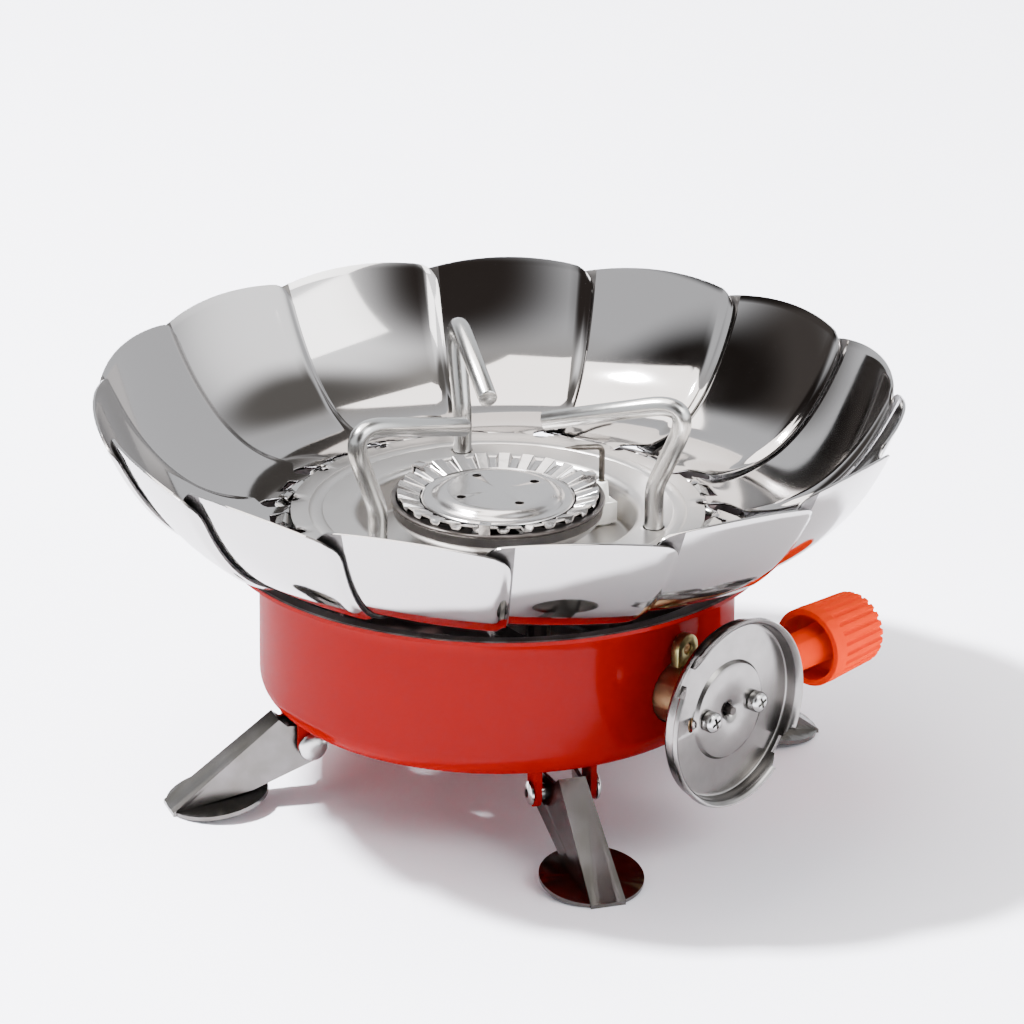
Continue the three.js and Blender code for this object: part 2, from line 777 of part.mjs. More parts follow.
// One petal: a curved blade, skewed at its root, with two rolled knuckles beside a notch for the eye
function makePetalGeometry() {
  const columnShares = [-1, -0.93, -0.5, 0, 0.5, 0.93, 1];
  const rowShares = [0, 0.08, 0.16, 0.4, 0.7, 1];
  const root = new THREE.Vector2(hingeRadius, rootHeight);
  const control = new THREE.Vector2(petalControlRadius, petalControlHeight);
  const rim = new THREE.Vector2(petalRimRadius, petalRimHeight);
  const profile = new THREE.QuadraticBezierCurve(root, control, rim);
  const rise = rim.clone().sub(control).normalize();
  const rimHalfWidth = petalRimRadius * Math.sin(petalHalfAngle * degree);
  const chordStart = new THREE.Vector3(root.x, 0, root.y);
  const chord = new THREE.Vector3(rim.x - root.x, 0, rim.y - root.y);
  const smooth = THREE.MathUtils.smoothstep;
  const grid = rowShares.map((t) => {
    const { x: radius, y: height } = profile.getPoint(t);
    const shoulder = smooth(radius, hingeRadius + petalNeckReach, hingeRadius + petalShoulderReach);
    const rootHalfAngle = Math.asin(petalRootWidth / 2 / radius);
    const halfAngle = rootHalfAngle + (petalHalfAngle * degree - rootHalfAngle) * shoulder;
    const skewLeft = 1 - smooth(radius, hingeRadius, hingeRadius + petalShoulderReach);
    const lean = -petalLean * degree * smooth(radius, hingeRadius, hingeRadius + petalLeanReach);
    return columnShares.map((s) => {
      const angle = halfAngle * s;
      const inset = Math.min((1 - Math.abs(s)) * rimHalfWidth, petalCornerRadius);
      const corner = petalCornerRadius - Math.sqrt(petalCornerRadius ** 2 - (petalCornerRadius - inset) ** 2);
      const lift = petalArch * (1 - s * s) * t ** 4 - (t === 1 ? corner : 0);
      const reach = radius + rise.x * lift;
      const width = reach * Math.sin(angle);
      const x = reach * Math.cos(angle) + width * Math.tan(hingeSkew * degree) * skewLeft;
      const place = new THREE.Vector3(x, width, height + rise.y * lift);
      const offset = place.sub(chordStart).applyAxisAngle(chord.clone().normalize(), lean);
      return offset.add(chordStart);
    });
  });
  const blade = gridSheet(grid, thinSheet);
  const notch = block(
    [hingeRadius - petalRootWidth, hingeRadius + petalNotchReach],
    [-petalNotchWidth / 2, petalNotchWidth / 2],
    [hingeHeight - petalRootWidth, hingeHeight + petalRootWidth],
  );
  const inner = eyeInner;
  const outer = inner + thinSheet;
  const end = knuckleStart + knuckleTurn;
  const curl = [
    ...arc(0, 0, outer, knuckleStart, end, knuckleSteps),
    ...arc(0, 0, inner, end, knuckleStart, knuckleSteps),
  ];
  const knuckles = [-1, 1].map((side) => {
    const from = side < 0 ? -knuckleInset - knuckleWidth : knuckleInset;
    return standing(curl, from, from + knuckleWidth)
      .rotateZ(-hingeSkew * degree)
      .translate(hingeRadius, 0, hingeHeight);
  });
  return join(cut(blade, notch), ...knuckles);
}

function makePetals() {
  const geometry = makePetalGeometry();
  for (let i = 0; i < petals; i += 1) {
    const group = new THREE.Group();
    group.rotation.z = (firstPetalAngle + (360 / petals) * i) * degree;
    stove.add(group);
    add(group, `petal_${String(i + 1).padStart(2, "0")}`, geometry, polishedSteel);
  }
}

// The burner: a cup, a cap pressed with a raised middle, and a pleated ring that leaves the flame slots
function makeBurner() {
  const neckHole = tubeRadius + fit;
  const beadReach = burnerRimRadius - burnerWallRadius;
  const line = [
    [neckHole, burnerFloor],
    ...curved(
      [burnerFloorRadius, burnerFloor],
      [burnerHaunchRadius, burnerHaunchHeight],
      [burnerWallRadius, burnerWallFoot],
      arcSteps,
    ),
    [burnerWallRadius, burnerRimHeight - 2 * beadReach],
    [burnerRimRadius, burnerRimHeight - beadReach],
    [burnerWallRadius, burnerRimHeight],
  ];
  const cup = turned(sheetOutline(line, burnerSheet), dishSides);
  const lugFoot = burnerRimHeight - beadReach * 2;
  const lugUnderside = fluteTop + fit;
  const lug = [
    [burnerWallRadius - lugSheet, lugFoot],
    [burnerWallRadius, lugFoot],
    [burnerWallRadius, lugUnderside + lugSheet],
    [burnerWallRadius - lugLength, lugUnderside + lugSheet],
    [burnerWallRadius - lugLength, lugUnderside],
    [burnerWallRadius - lugSheet, lugUnderside],
  ];
  const crimps = Array.from({ length: lugs }, (_, i) =>
    aboutZ(standing(lug, -lugWidth / 2, lugWidth / 2), firstLugAngle + (360 / lugs) * i),
  );
  add(stove, "burner_cup", join(cup, ...crimps), pressedSteel);

  const crest = burnerWallRadius - burnerSheet - fit;
  const foot = capRadius + fit;
  const waveShares = [0, 0.5, 0.6, 0.9];
  const dropShares = [0, 0, 1, 1];
  const sections = [];
  for (let i = 0; i < flutes; i += 1) {
    waveShares.forEach((share, j) => {
      const angle = ((i + share) / flutes) * fullTurn;
      const at = (r, z) => new THREE.Vector3(r * Math.cos(angle), r * Math.sin(angle), z);
      const inner = fluteFoot - fluteInnerDrop * dropShares[j];
      const outer = fluteTop - fluteDrop * dropShares[j];
      sections.push([
        at(foot, inner),
        at(foot, inner + fluteSheet),
        at(crest, outer),
        at(crest, outer - fluteSheet),
      ]);
    });
  }
  add(stove, "flame_ring", surface(solid(closedRows(sections))), pressedSteel);

  const capLine = [
    [0, capPlateauHeight],
    [capPlateauRadius, capPlateauHeight],
    ...curved(
      [capPlateauRadius + capSheet, capPlateauHeight],
      [(capPlateauRadius + capSlopeRadius) / 2, capFloor],
      [capSlopeRadius, capFloor],
      arcSteps,
    ),
    [capRadius - capEdgeRise, capFloor],
    [capRadius, capFloor + capEdgeRise],
  ];
  const cap = turned(sheetOutline(capLine, capSheet), dishSides);
  const holes = Array.from({ length: capHoles }, (_, i) =>
    aboutZ(
      bar(capHoleRadius, capFloor, capPlateauHeight + overrun, smallSides).translate(capHoleCircle, 0, 0),
      (360 / capHoles) * (i + capHoleShare),
    ),
  );
  add(stove, "burner_cap", cut(cap, ...holes), pressedSteel);
}

// The mixing tube: it takes gas and air at its mouth and bends up into the burner
function makeMixingTube() {
  const corners = [
    new THREE.Vector3(tubeMouth, 0, valveHeight),
    new THREE.Vector3(0, 0, valveHeight),
    new THREE.Vector3(0, 0, tubeTop),
  ];
  const path = bentPath(corners, [tubeBend], arcSteps);
  const longer = path.map((p) => p.clone());
  longer[0].x += overrun;
  longer.at(-1).z += overrun;
  const outside = rod(path, tubeRadius, roundSides);
  const inside = rod(longer, tubeRadius - tubeWall, roundSides);
  const air = alongY(bar(primaryHoleRadius, -tubeRadius - overrun, tubeRadius + overrun, pinSides))
    .translate(primaryHolePlace, 0, valveHeight);
  add(valveGroup, "mixing_tube", cut(outside, inside, air), zincSteel);
}

// A pot support: one bent rod that swivels in the hub, with a collar under the carrier
function makeSupports() {
  supportAzimuths.forEach((azimuth, i) => {
    const at = (reach, z) => new THREE.Vector3(supportPivotRadius + reach, 0, z);
    const corners = [
      at(0, supportFoot),
      at(0, supportBendHeight),
      at(supportCornerReach, supportCornerHeight),
      at(-supportEndReach, supportEndHeight),
    ];
    const bent = rod(bentPath(corners, [supportFootBend, supportCornerBend], arcSteps), supportRodRadius);
    const collarTop = carrierUnderside - fit;
    const collar = bar(supportCollarRadius, collarTop - supportCollarHeight, collarTop)
      .translate(supportPivotRadius, 0, 0);
    add(facing(azimuth), `pot_support_${i + 1}`, join(bent, collar), zincSteel);
  });
}

// The valve: a stub through the pan's wall with a side boss for the spindle and a plate for the flange
function makeValve() {
  const plateEnd = valveStubEnd + valvePlate;
  const noseOutline = [
    [gasBoreRadius, valveNoseStart + valveNoseDepth],
    [valveNoseBore, valveNoseStart + valveNoseDepth],
    [valveNoseBore, valveNoseStart],
    [valveStubRadius - fit, valveNoseStart],
    [valveStubRadius, valveNoseStart + fit],
    [valveStubRadius, plateEnd],
    [gasBoreRadius, plateEnd],
  ];
  const bodySides = roundSides + 4;
  const level = (geometry) => alongX(geometry).translate(0, 0, valveHeight);
  const stub = level(turned(noseOutline, bodySides));
  const boss = alongY(bar(bossRadius, 0, bossEnd)).translate(spindlePlace, 0, spindleHeight);
  const ears = [-1, 1].map((side) =>
    level(bar(valvePlateEarRadius, valveStubEnd, plateEnd)).translate(0, side * valvePlateHalfSpan, 0),
  );
  const bridge = block(
    [valveStubEnd, plateEnd],
    [-valvePlateHalfSpan, valvePlateHalfSpan],
    [valveHeight - valvePlateEarRadius, valveHeight + valvePlateEarRadius],
  );
  const gasBore = level(bar(gasBoreRadius, valveNoseStart, plateEnd + overrun, pinSides));
  const spindleBore = alongY(bar(spindleRadius + fit, 0, bossEnd + overrun)).translate(spindlePlace, 0, spindleHeight);
  const seat = level(bar(sealSeatRadius, plateEnd - sealSeatDepth, plateEnd + overrun));
  const threads = [-1, 1].map((side) =>
    level(bar(screwShankRadius + fit, valveStubEnd - overrun, plateEnd + overrun, pinSides))
      .translate(0, side * flangeScrewPlace, 0),
  );
  const body = cut(join(stub, boss, bridge, ...ears), gasBore, spindleBore, seat, ...threads);
  add(valveGroup, "valve_body", body, brass);

  const seal = turned(
    [
      [sealBoreRadius, plateEnd - sealSeatDepth + fit],
      [sealSeatRadius - fit, plateEnd - sealSeatDepth + fit],
      [sealSeatRadius - fit, plateEnd],
      [sealBoreRadius, plateEnd],
    ],
    roundSides,
  );
  add(valveGroup, "inlet_seal", surface(solid(level(seal))), rubber);
  const pin = bar(inletPinRadius, valveStubEnd - valvePlate, plateEnd + inletPinReach, pinSides);
  add(valveGroup, "inlet_pin", surface(solid(level(pin))), brass);

  const jetSeat = valveNoseStart - fit;
  const jetFront = jetSeat - jetCollarLength;
  const jetOutline = [
    [jetBoreRadius, jetFront - jetTipLength],
    [jetTipRadius, jetFront - jetTipLength],
    [jetShoulderRadius, jetFront],
    [jetCollarRadius, jetFront],
    [jetCollarRadius, jetSeat],
    [jetShankRadius, jetSeat],
    [jetShankRadius, jetSeat + valveNoseDepth],
    [jetBoreRadius, jetSeat + valveNoseDepth],
  ];
  add(valveGroup, "jet_nozzle", surface(solid(level(turned(jetOutline, roundSides)))), brass);
}

// The bracket that ties the valve to the pan's wall, and its rivet
function makeBracket() {
  const foot = valveHeight + valveStubRadius + fit;
  const half = bracketWidth / 2;
  const outline = [
    [half, foot],
    ...arc(0, bracketHoleHeight, half, 0, 180, arcSteps * 2),
    [-half, foot],
  ];
  const strip = plate(outline, bracketThickness)
    .rotateX(quarterTurn)
    .rotateZ(quarterTurn)
    .translate(bracketPlace, 0, 0);
  const hole = alongX(bar(rivetRadius + fit, bracketPlace - overrun, bracketPlace + bracketThickness + overrun))
    .translate(0, 0, bracketHoleHeight);
  add(valveGroup, "valve_bracket", cut(strip, hole), oliveZinc);

  const inside = panRadius - panSheet - fit;
  const outside = bracketPlace + bracketThickness + fit;
  const rivetOutline = [
    [0, inside - rivetHeadHeight],
    [rivetHeadRadius, inside - rivetHeadHeight],
    [rivetHeadRadius, inside],
    [rivetRadius, inside],
    [rivetRadius, panRadius + fit],
    [rivetHeadRadius, panRadius + fit],
    [rivetHeadRadius, bracketPlace - fit],
    [rivetRadius, bracketPlace - fit],
    [rivetRadius, outside],
    [rivetHeadRadius, outside],
    [rivetHeadRadius / 2, outside + rivetHeadHeight],
    [0, outside + rivetHeadHeight],
  ];
  const rivet = alongX(turned(rivetOutline, pinSides)).translate(0, 0, bracketHoleHeight);
  add(valveGroup, "bracket_rivet", surface(solid(rivet)), zincSteel);
}

// The spindle with its needle tip, the packing nut round it, and the fluted knob
function makeKnob() {
  const level = (geometry) => alongY(geometry).translate(spindlePlace, 0, spindleHeight);
  const knobEnd = knobStart + knobLength;
  const socketEnd = knobEnd - knobWall * 2;
  const spindleOutline = [
    [0, spindleStart],
    [spindleRadius, spindleStart + spindleTipLength],
    [spindleRadius, socketEnd - fit],
    [0, socketEnd - fit],
  ];
  add(valveGroup, "valve_spindle", surface(solid(level(turned(spindleOutline, barSides)))), brass);

  const nut = level(bar(nutRadius, bossEnd + fit, bossEnd + fit + nutLength, 6));
  const nutBore = level(bar(spindleRadius + fit, bossEnd, bossEnd + nutLength + overrun));
  add(valveGroup, "packing_nut", cut(nut, nutBore), brass);

  const levels = [
    [knobStart, knobRimRadius, 0],
    [knobStart + knobBand, knobRimRadius, 0],
    [knobStart + knobBand + knobFluteDepth, knobRimRadius, 1],
    [knobEnd - knobRimRound, knobEndRadius, 1],
    [knobEnd, knobEndRadius - knobRimRound, 1],
  ];
  const fluteShares = [0, 0.5, 0.75];
  const cutShares = [0, 0, 1];
  const ring = ([height, radius, deep]) => {
    const points = [];
    for (let i = 0; i < knobFlutes; i += 1) {
      fluteShares.forEach((share, j) => {
        const angle = ((i + share) / knobFlutes) * fullTurn;
        const reach = radius - knobFluteDepth * cutShares[j] * deep;
        points.push(new THREE.Vector3(reach * Math.cos(angle), reach * Math.sin(angle), height));
      });
    }
    return points;
  };
  const rings = levels.map(ring);
  const centre = (height) => rings[0].map(() => new THREE.Vector3(0, 0, height));
  const grip = closedRows([centre(knobStart), ...rings, centre(knobEnd)]);
  const hollow = bar(knobRimRadius - knobWall, knobStart - overrun, knobStart + knobHollowDepth, boreSides);
  const neck = new THREE.CylinderGeometry(
    knobNeckRadius + knobWall / 2,
    knobNeckRadius,
    knobNeckReach + knobHollowDepth + overrun,
    roundSides,
  )
    .rotateX(quarterTurn)
    .translate(0, 0, knobStart + (knobHollowDepth - knobNeckReach + overrun) / 2);
  const socket = bar(spindleRadius + fit, knobStart - knobNeckReach - overrun, socketEnd, barSides);
  add(valveGroup, "knob", level(cut(join(cut(grip, hollow), neck), socket)), orangePlastic);
}

// The canister flange: a pressed dish with a raised middle, an inlet funnel and two rim notches
function makeFlange() {
  const back = dishPlace;
  const front = dishPlace + dishRim;
  const line = [
    [dishInletRadius, back - dishFunnelDepth + dishPlateauRise],
    [dishFunnelRadius, back + dishPlateauRise],
    [dishPlateauRadius - dishPlateauRise, back + dishPlateauRise],
    [dishPlateauRadius, back],
    [dishRadius - dishLip - dishSheet, back],
    [dishRadius - dishLip, back + dishSheet],
    [dishRadius - dishLip, front - dishLip],
    [dishRadius, front],
  ];
  const dish = turned(sheetOutline(line, dishSheet), dishSides);
  const notches = Array.from({ length: dishNotches }, (_, i) =>
    aboutZ(
      block([dishRadius - dishLip - dishSheet, dishRadius + overrun], [-dishNotchWidth / 2, dishNotchWidth / 2], [
        front - dishRim / 2,
        front + overrun,
      ]),
      dishNotchAngle + (360 / dishNotches) * i,
    ),
  );
  const screwHoles = [-1, 1].map((side) =>
    bar(screwShankRadius + fit, back - overrun, front, pinSides).translate(0, side * flangeScrewPlace, 0),
  );
  const oval = bar(dishOvalWidth / 2, back - overrun, front, pinSides)
    .scale(dishOvalHeight / dishOvalWidth, 1, 1)
    .translate(0, -dishPlateauRadius - dishOvalWidth / 2, 0);
  const level = (geometry) => alongX(geometry).translate(0, 0, valveHeight);
  add(valveGroup, "canister_flange", level(cut(dish, ...notches, ...screwHoles, oval)), polishedSteel);

  const seat = back + dishPlateauRise + dishSheet + fit;
  [-1, 1].forEach((side, i) => {
    const tip = valveStubEnd + fit;
    const outline = [
      [0, tip],
      [screwShankRadius, tip],
      [screwShankRadius, seat],
      [screwHeadRadius, seat],
      [screwHeadRadius, seat + screwHeadHeight - screwHeadRound],
      [screwHeadRadius - screwHeadRound, seat + screwHeadHeight],
      [screwSocketRadius, seat + screwHeadHeight],
      [0, seat + screwHeadHeight - screwSocketDepth],
    ];
    const screw = level(turned(outline, pinSides)).translate(0, side * flangeScrewPlace, 0);
    add(valveGroup, `flange_screw_${i + 1}`, surface(solid(screw)), zincSteel);
  });
}

// The spark igniter: ceramic, electrode, lead, and the push-button unit in the wall
function makeIgniter() {
  const half = ceramicWidth / 2;
  const floorTop = hubWellFloor + thinSheet + fit;
  const cube = block([sparkPlace - half, sparkPlace + half], [-half, half], [floorTop, ceramicTop]);
  const post = new THREE.CylinderGeometry(
    ceramicPostWidth / 2 - ceramicPostTaper,
    ceramicPostWidth / 2,
    ceramicPostTop - ceramicTop + overrun,
    pinSides,
  )
    .rotateX(quarterTurn)
    .translate(sparkPlace - ceramicPostShift, 0, (ceramicPostTop + ceramicTop - overrun) / 2);
  const stem = bar(ceramicStemRadius, ceramicStemEnd, floorTop + overrun).translate(sparkPlace, 0, 0);
  const bore = bar(electrodeRadius + fit, ceramicStemEnd - overrun, ceramicPostTop + overrun, pinSides)
    .translate(sparkPlace - ceramicPostShift, 0, 0);
  add(sparkGroup, "igniter_ceramic", cut(join(cube, post, stem), bore), ceramic);

  const base = sparkPlace - ceramicPostShift;
  const at = (r, z) => new THREE.Vector3(r, 0, z);
  const tilt = Math.atan2(electrodeRise, electrodeReach);
  const along = (length) => at(base - length * Math.cos(tilt), electrodeHeight + length * Math.sin(tilt));
  const corners = [at(base, electrodeFoot), at(base, electrodeHeight), along(electrodeReach - electrodeTaper)];
  const wire = rod(bentPath(corners, [electrodeBend]), electrodeRadius, pinSides);
  const point = new THREE.CylinderGeometry(0, electrodeRadius, electrodeTaper + fit, pinSides)
    .rotateZ(quarterTurn)
    .rotateY(tilt)
    .translate(...along(electrodeReach - (electrodeTaper + fit) / 2).toArray());
  add(sparkGroup, "igniter_electrode", join(wire, point), zincSteel);

  const leadStart = new THREE.Vector3(base, 0, ceramicStemEnd - leadGap).applyMatrix4(sparkGroup.matrixWorld);
  const leadEnd = new THREE.Vector3(piezoInnerEnd - leadGap, 0, piezoHeight).applyMatrix4(piezoGroup.matrixWorld);
  const below = leadStart.clone().setZ(piezoHeight + leadRadius);
  const inward = new THREE.Vector3(piezoInnerEnd - ceramicWidth, 0, piezoHeight).applyMatrix4(piezoGroup.matrixWorld);
  const curve = new THREE.CubicBezierCurve3(leadStart, below, inward, leadEnd);
  const lead = rod(curve.getPoints(arcSteps * 3), leadRadius, pinSides);
  add(stove, "igniter_lead", surface(solid(lead)), rubber);

  const level = (geometry) => alongX(geometry).translate(0, 0, piezoHeight);
  const unit = turned(
    [
      [0, piezoInnerEnd],
      [piezoRadius, piezoInnerEnd],
      [piezoRadius, piezoShoulder - overrun],
      [piezoShoulderRadius, piezoShoulder - overrun],
      [piezoShoulderRadius, piezoShoulder],
      [piezoRadius, piezoShoulder],
      [piezoRadius, piezoOuterEnd],
      [piezoBoreRadius, piezoOuterEnd],
      [piezoBoreRadius, piezoBoreStart],
      [0, piezoBoreStart],
    ],
    roundSides * 2,
  );
  add(piezoGroup, "piezo_igniter", surface(solid(level(unit))), darkPlastic);

  const button = turned(
    [
      [0, piezoBoreStart + buttonTravel + fit],
      [buttonRadius, piezoBoreStart + buttonTravel + fit],
      [buttonRadius, buttonEnd - buttonCrown],
      [buttonRadius - buttonCrown, buttonEnd],
      [0, buttonEnd],
    ],
    roundSides * 2,
  );
  add(piezoGroup, "igniter_button", surface(solid(level(button))), redEnamel);

  const nut = level(bar(piezoNutRadius, panRadius + fit, panRadius + fit + piezoNutLength, 6));
  const nutBore = level(bar(piezoRadius + fit, panRadius, panRadius + piezoNutLength + overrun, boreSides));
  add(piezoGroup, "igniter_nut", cut(nut, nutBore), zincSteel);
}

makePan();
for (let i = 0; i < legs; i += 1) {
  const group = facing(firstLegAzimuth + (360 / legs) * i);
  makeClevis(group, i + 1);
  makeLeg(group, i + 1);
  makeLegPin(group, i + 1);
}
makeHubDisc();
makeCarrier();
makeHingeRing();
makePillars();
makePetals();
makeBurner();
makeMixingTube();
makeSupports();
makeValve();
makeBracket();
makeKnob();
makeFlange();
makeIgniter();

export default stove;
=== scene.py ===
import math

import bmesh
import bpy
from mathutils import Matrix, Vector


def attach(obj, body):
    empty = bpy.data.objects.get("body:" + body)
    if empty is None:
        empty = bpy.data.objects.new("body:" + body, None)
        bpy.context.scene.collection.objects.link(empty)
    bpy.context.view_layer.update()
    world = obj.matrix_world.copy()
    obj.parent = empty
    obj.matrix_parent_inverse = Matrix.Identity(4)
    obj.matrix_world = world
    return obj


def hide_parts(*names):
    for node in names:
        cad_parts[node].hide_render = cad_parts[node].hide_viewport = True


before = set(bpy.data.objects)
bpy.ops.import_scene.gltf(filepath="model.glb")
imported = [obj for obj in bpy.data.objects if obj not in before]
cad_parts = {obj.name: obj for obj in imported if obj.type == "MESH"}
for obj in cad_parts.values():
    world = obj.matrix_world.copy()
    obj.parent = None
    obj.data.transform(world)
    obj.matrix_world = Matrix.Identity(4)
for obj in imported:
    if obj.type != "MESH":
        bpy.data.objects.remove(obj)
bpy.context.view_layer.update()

MM = 0.001
CAMERA_PLACE = (2.85, -1186.2, 535.5)
CAMERA_PITCH = math.radians(22)
CAMERA_ROLL = math.radians(0.55)
FOCAL_LENGTH = 223.86
SENSOR_WIDTH = 36
VIEW_END = 100
STOVE_MIDDLE = (0, 0, 0.05)
ROOM_LIGHT = 1.8
FLOOR_HALF = 6
MIX_A, MIX_B, MIX_RESULT = 6, 7, 2  # a Mix node's colour sockets, by place: names repeat there


def linear(hex_colour):
    """An sRGB hex colour as linear red, green, blue and alpha."""
    parts = [int(hex_colour[i : i + 2], 16) / 255 for i in (1, 3, 5)]
    return [c / 12.92 if c <= 0.04045 else ((c + 0.055) / 1.055) ** 2.4 for c in parts] + [1]


def add_node(tree, kind, links=None, **settings):
    """A node of that kind: settings are its properties or input values, links its inputs."""
    node = tree.nodes.new(kind)
    for key, value in settings.items():
        socket = node.inputs.get(key.replace("_", " "))
        if socket is not None and not hasattr(node, key):
            socket.default_value = value
        else:
            setattr(node, key, value)
    for key, output in (links or {}).items():
        tree.links.new(output, node.inputs[key])
    return node


def new_finish(name, colour, metallic, roughness):
    """A material, its node tree and its main shader."""
    material = bpy.data.materials.new(name)
    material.use_nodes = True
    tree = material.node_tree
    shader = tree.nodes["Principled BSDF"]
    shader.inputs["Base Color"].default_value = linear(colour)
    shader.inputs["Metallic"].default_value = metallic
    shader.inputs["Roughness"].default_value = roughness
    return material, tree, shader


ahead = Vector((0, math.cos(CAMERA_PITCH), -math.sin(CAMERA_PITCH)))
level_up = Vector((0, math.sin(CAMERA_PITCH), math.cos(CAMERA_PITCH)))
level_right = Vector((1, 0, 0))
right = level_right * math.cos(CAMERA_ROLL) + level_up * math.sin(CAMERA_ROLL)
up = level_up * math.cos(CAMERA_ROLL) - level_right * math.sin(CAMERA_ROLL)
lens = bpy.data.cameras.new("camera")
lens.lens = FOCAL_LENGTH
lens.sensor_width = SENSOR_WIDTH
lens.clip_end = VIEW_END
camera = bpy.data.objects.new("camera", lens)
turn = Matrix((right, up, -ahead)).transposed().to_4x4()
camera.matrix_world = Matrix.Translation(Vector(CAMERA_PLACE) * MM) @ turn
bpy.context.collection.objects.link(camera)
bpy.context.scene.camera = camera


def panel(name, place, width, height, power, colour):
    """A rectangular soft light at a place in metres, facing the stove."""
    light = bpy.data.lights.new(name, "AREA")
    light.shape = "RECTANGLE"
    light.size, light.size_y = width, height
    light.energy = power
    light.color = linear(colour)[:3]
    lamp = bpy.data.objects.new(name, light)
    aim = (Vector(STOVE_MIDDLE) - Vector(place)).to_track_quat("-Z", "Y")
    lamp.matrix_world = Matrix.Translation(place) @ aim.to_matrix().to_4x4()
    bpy.context.collection.objects.link(lamp)


panel("key_lamp", (-0.74, 0, 1.36), 0.12, 0.12, 140, "#f8faff")
panel("ceiling_panel", (-0.59, 0.34, 2.09), 2.0, 1.8, 76, "#fffaf7")
panel("side_panel", (0.97, -0.68, 1.0), 0.7, 0.6, 8, "#ffffff")

world = bpy.data.worlds.new("studio_room")
world.use_nodes = True
bpy.context.scene.world = world
room = world.node_tree
direction = add_node(room, "ShaderNodeTexCoord").outputs["Generated"]
upwards = add_node(room, "ShaderNodeSeparateXYZ", {"Vector": direction}).outputs["Z"]
rising = add_node(room, "ShaderNodeMapRange", {"Value": upwards}, From_Min=0.7, From_Max=0.97)
shade = add_node(room, "ShaderNodeMix", {0: rising.outputs["Result"]}, data_type="RGBA")
shade.inputs[MIX_A].default_value = linear("#d9dce1")
shade.inputs[MIX_B].default_value = linear("#b3b1af")
# Each patch: the way to it, the cosines at its soft edge and at its core, its colour and gain.
for towards, rim, core, colour, gain in (
    ((0.75, -0.43, 0.5), 0.66, 0.97, "#f4f6fa", 2.1),
    ((0.1, -0.87, 0.49), 0.8, 0.985, "#35302e", 1),
    ((-0.87, 0.32, 0.37), 0.86, 0.98, "#4c4846", 1),
    ((-0.74, 0.06, 0.67), 0.87, 0.97, "#231f1d", 1),
    ((0.51, 0.14, 0.85), 0.9, 0.99, "#6a6866", 1),
):
    aim = add_node(room, "ShaderNodeVectorMath", {0: direction}, operation="DOT_PRODUCT")
    aim.inputs[1].default_value = towards
    edge = {"interpolation_type": "SMOOTHSTEP", "From_Min": rim, "From_Max": core}
    patch = add_node(room, "ShaderNodeMapRange", {"Value": aim.outputs["Value"]}, **edge)
    below = {0: patch.outputs["Result"], MIX_A: shade.outputs[MIX_RESULT]}
    shade = add_node(room, "ShaderNodeMix", below, data_type="RGBA")
    shade.inputs[MIX_B].default_value = [c * gain for c in linear(colour)]
backdrop = room.nodes["Background"]
backdrop.inputs["Strength"].default_value = ROOM_LIGHT
room.links.new(shade.outputs[MIX_RESULT], backdrop.inputs["Color"])

floor_mesh = bmesh.new()
bmesh.ops.create_grid(floor_mesh, x_segments=1, y_segments=1, size=FLOOR_HALF)
floor_data = bpy.data.meshes.new("floor")
floor_mesh.to_mesh(floor_data)
floor = bpy.data.objects.new("floor", floor_data)
bpy.context.collection.objects.link(floor)
# Matt white board: uncoated, so light spreads evenly over it. The clouds of its fibres are a
# few millimetres wide, drawn at 60 so that they show at all.
paper, tree, shader = new_finish("matt_white_board", "#f4f3f9", 0, 0.7)
shader.inputs["Specular IOR Level"].default_value = 0.2
place = add_node(tree, "ShaderNodeTexCoord").outputs["Object"]
fibres = add_node(tree, "ShaderNodeTexNoise", {"Vector": place}, Scale=1 / (60 * MM), Detail=3)
shades = add_node(tree, "ShaderNodeValToRGB", {"Fac": fibres.outputs["Fac"]})
shades.color_ramp.elements[0].color = linear("#f4f3f9")
shades.color_ramp.elements[1].color = linear("#f8f7fd")
tree.links.new(shades.outputs["Color"], shader.inputs["Base Color"])
floor_data.materials.append(paper)

# ---- Body pan: deep-drawn mild steel with a flared lip, sprayed with red stoving enamel
# Holes are punched in its floor for air and in its wall for the valve, a rivet and the button.
# The pan's inside carries painted shade, dark and dull, and the lip's cut edge is worn to bare
# metal.
PAN_RADIUS = 48
PAN_SHEET = 0.8
PAN_UNDERSIDE = 18.4
PAN_CORNER = 5
PAN_TOP = 51.3
PAN_FLARE = 6.5
PAN_LIP = 55.5
LIP_EDGE = 54.7
AIR_HOLES, AIR_HOLE, AIR_HOLE_PLACE = 6, 3.5, 24
VALVE_AZIMUTH, VALVE_HEIGHT, VALVE_HOLE = 48, 31.5, 6.7
RIVET_HEIGHT, RIVET_HOLE = 41.3, 1.2
PIEZO_AZIMUTH, PIEZO_HEIGHT, PIEZO_HOLE = 154, 35, 5.3


def around(angle):
    """The turn about Z by an angle in degrees."""
    return Matrix.Rotation(math.radians(angle), 4, "Z")


def facing(azimuth):
    """The turn from local X outwards, Y along the round and Z up, to an azimuth from the front."""
    return around(azimuth - 90)


def arc(x, y, radius, start, end, steps):
    """Points of an arc, angles in degrees."""
    angles = [math.radians(start + (end - start) * i / steps) for i in range(steps + 1)]
    return [(x + radius * math.cos(a), y + radius * math.sin(a)) for a in angles]


def curved(start, control, end, steps):
    """Points of a quadratic curve."""
    points = []
    for i in range(steps + 1):
        t = i / steps
        a, b, c = (1 - t) ** 2, 2 * t * (1 - t), t * t
        points.append(tuple(a * s + b * m + c * e for s, m, e in zip(start, control, end)))
    return points


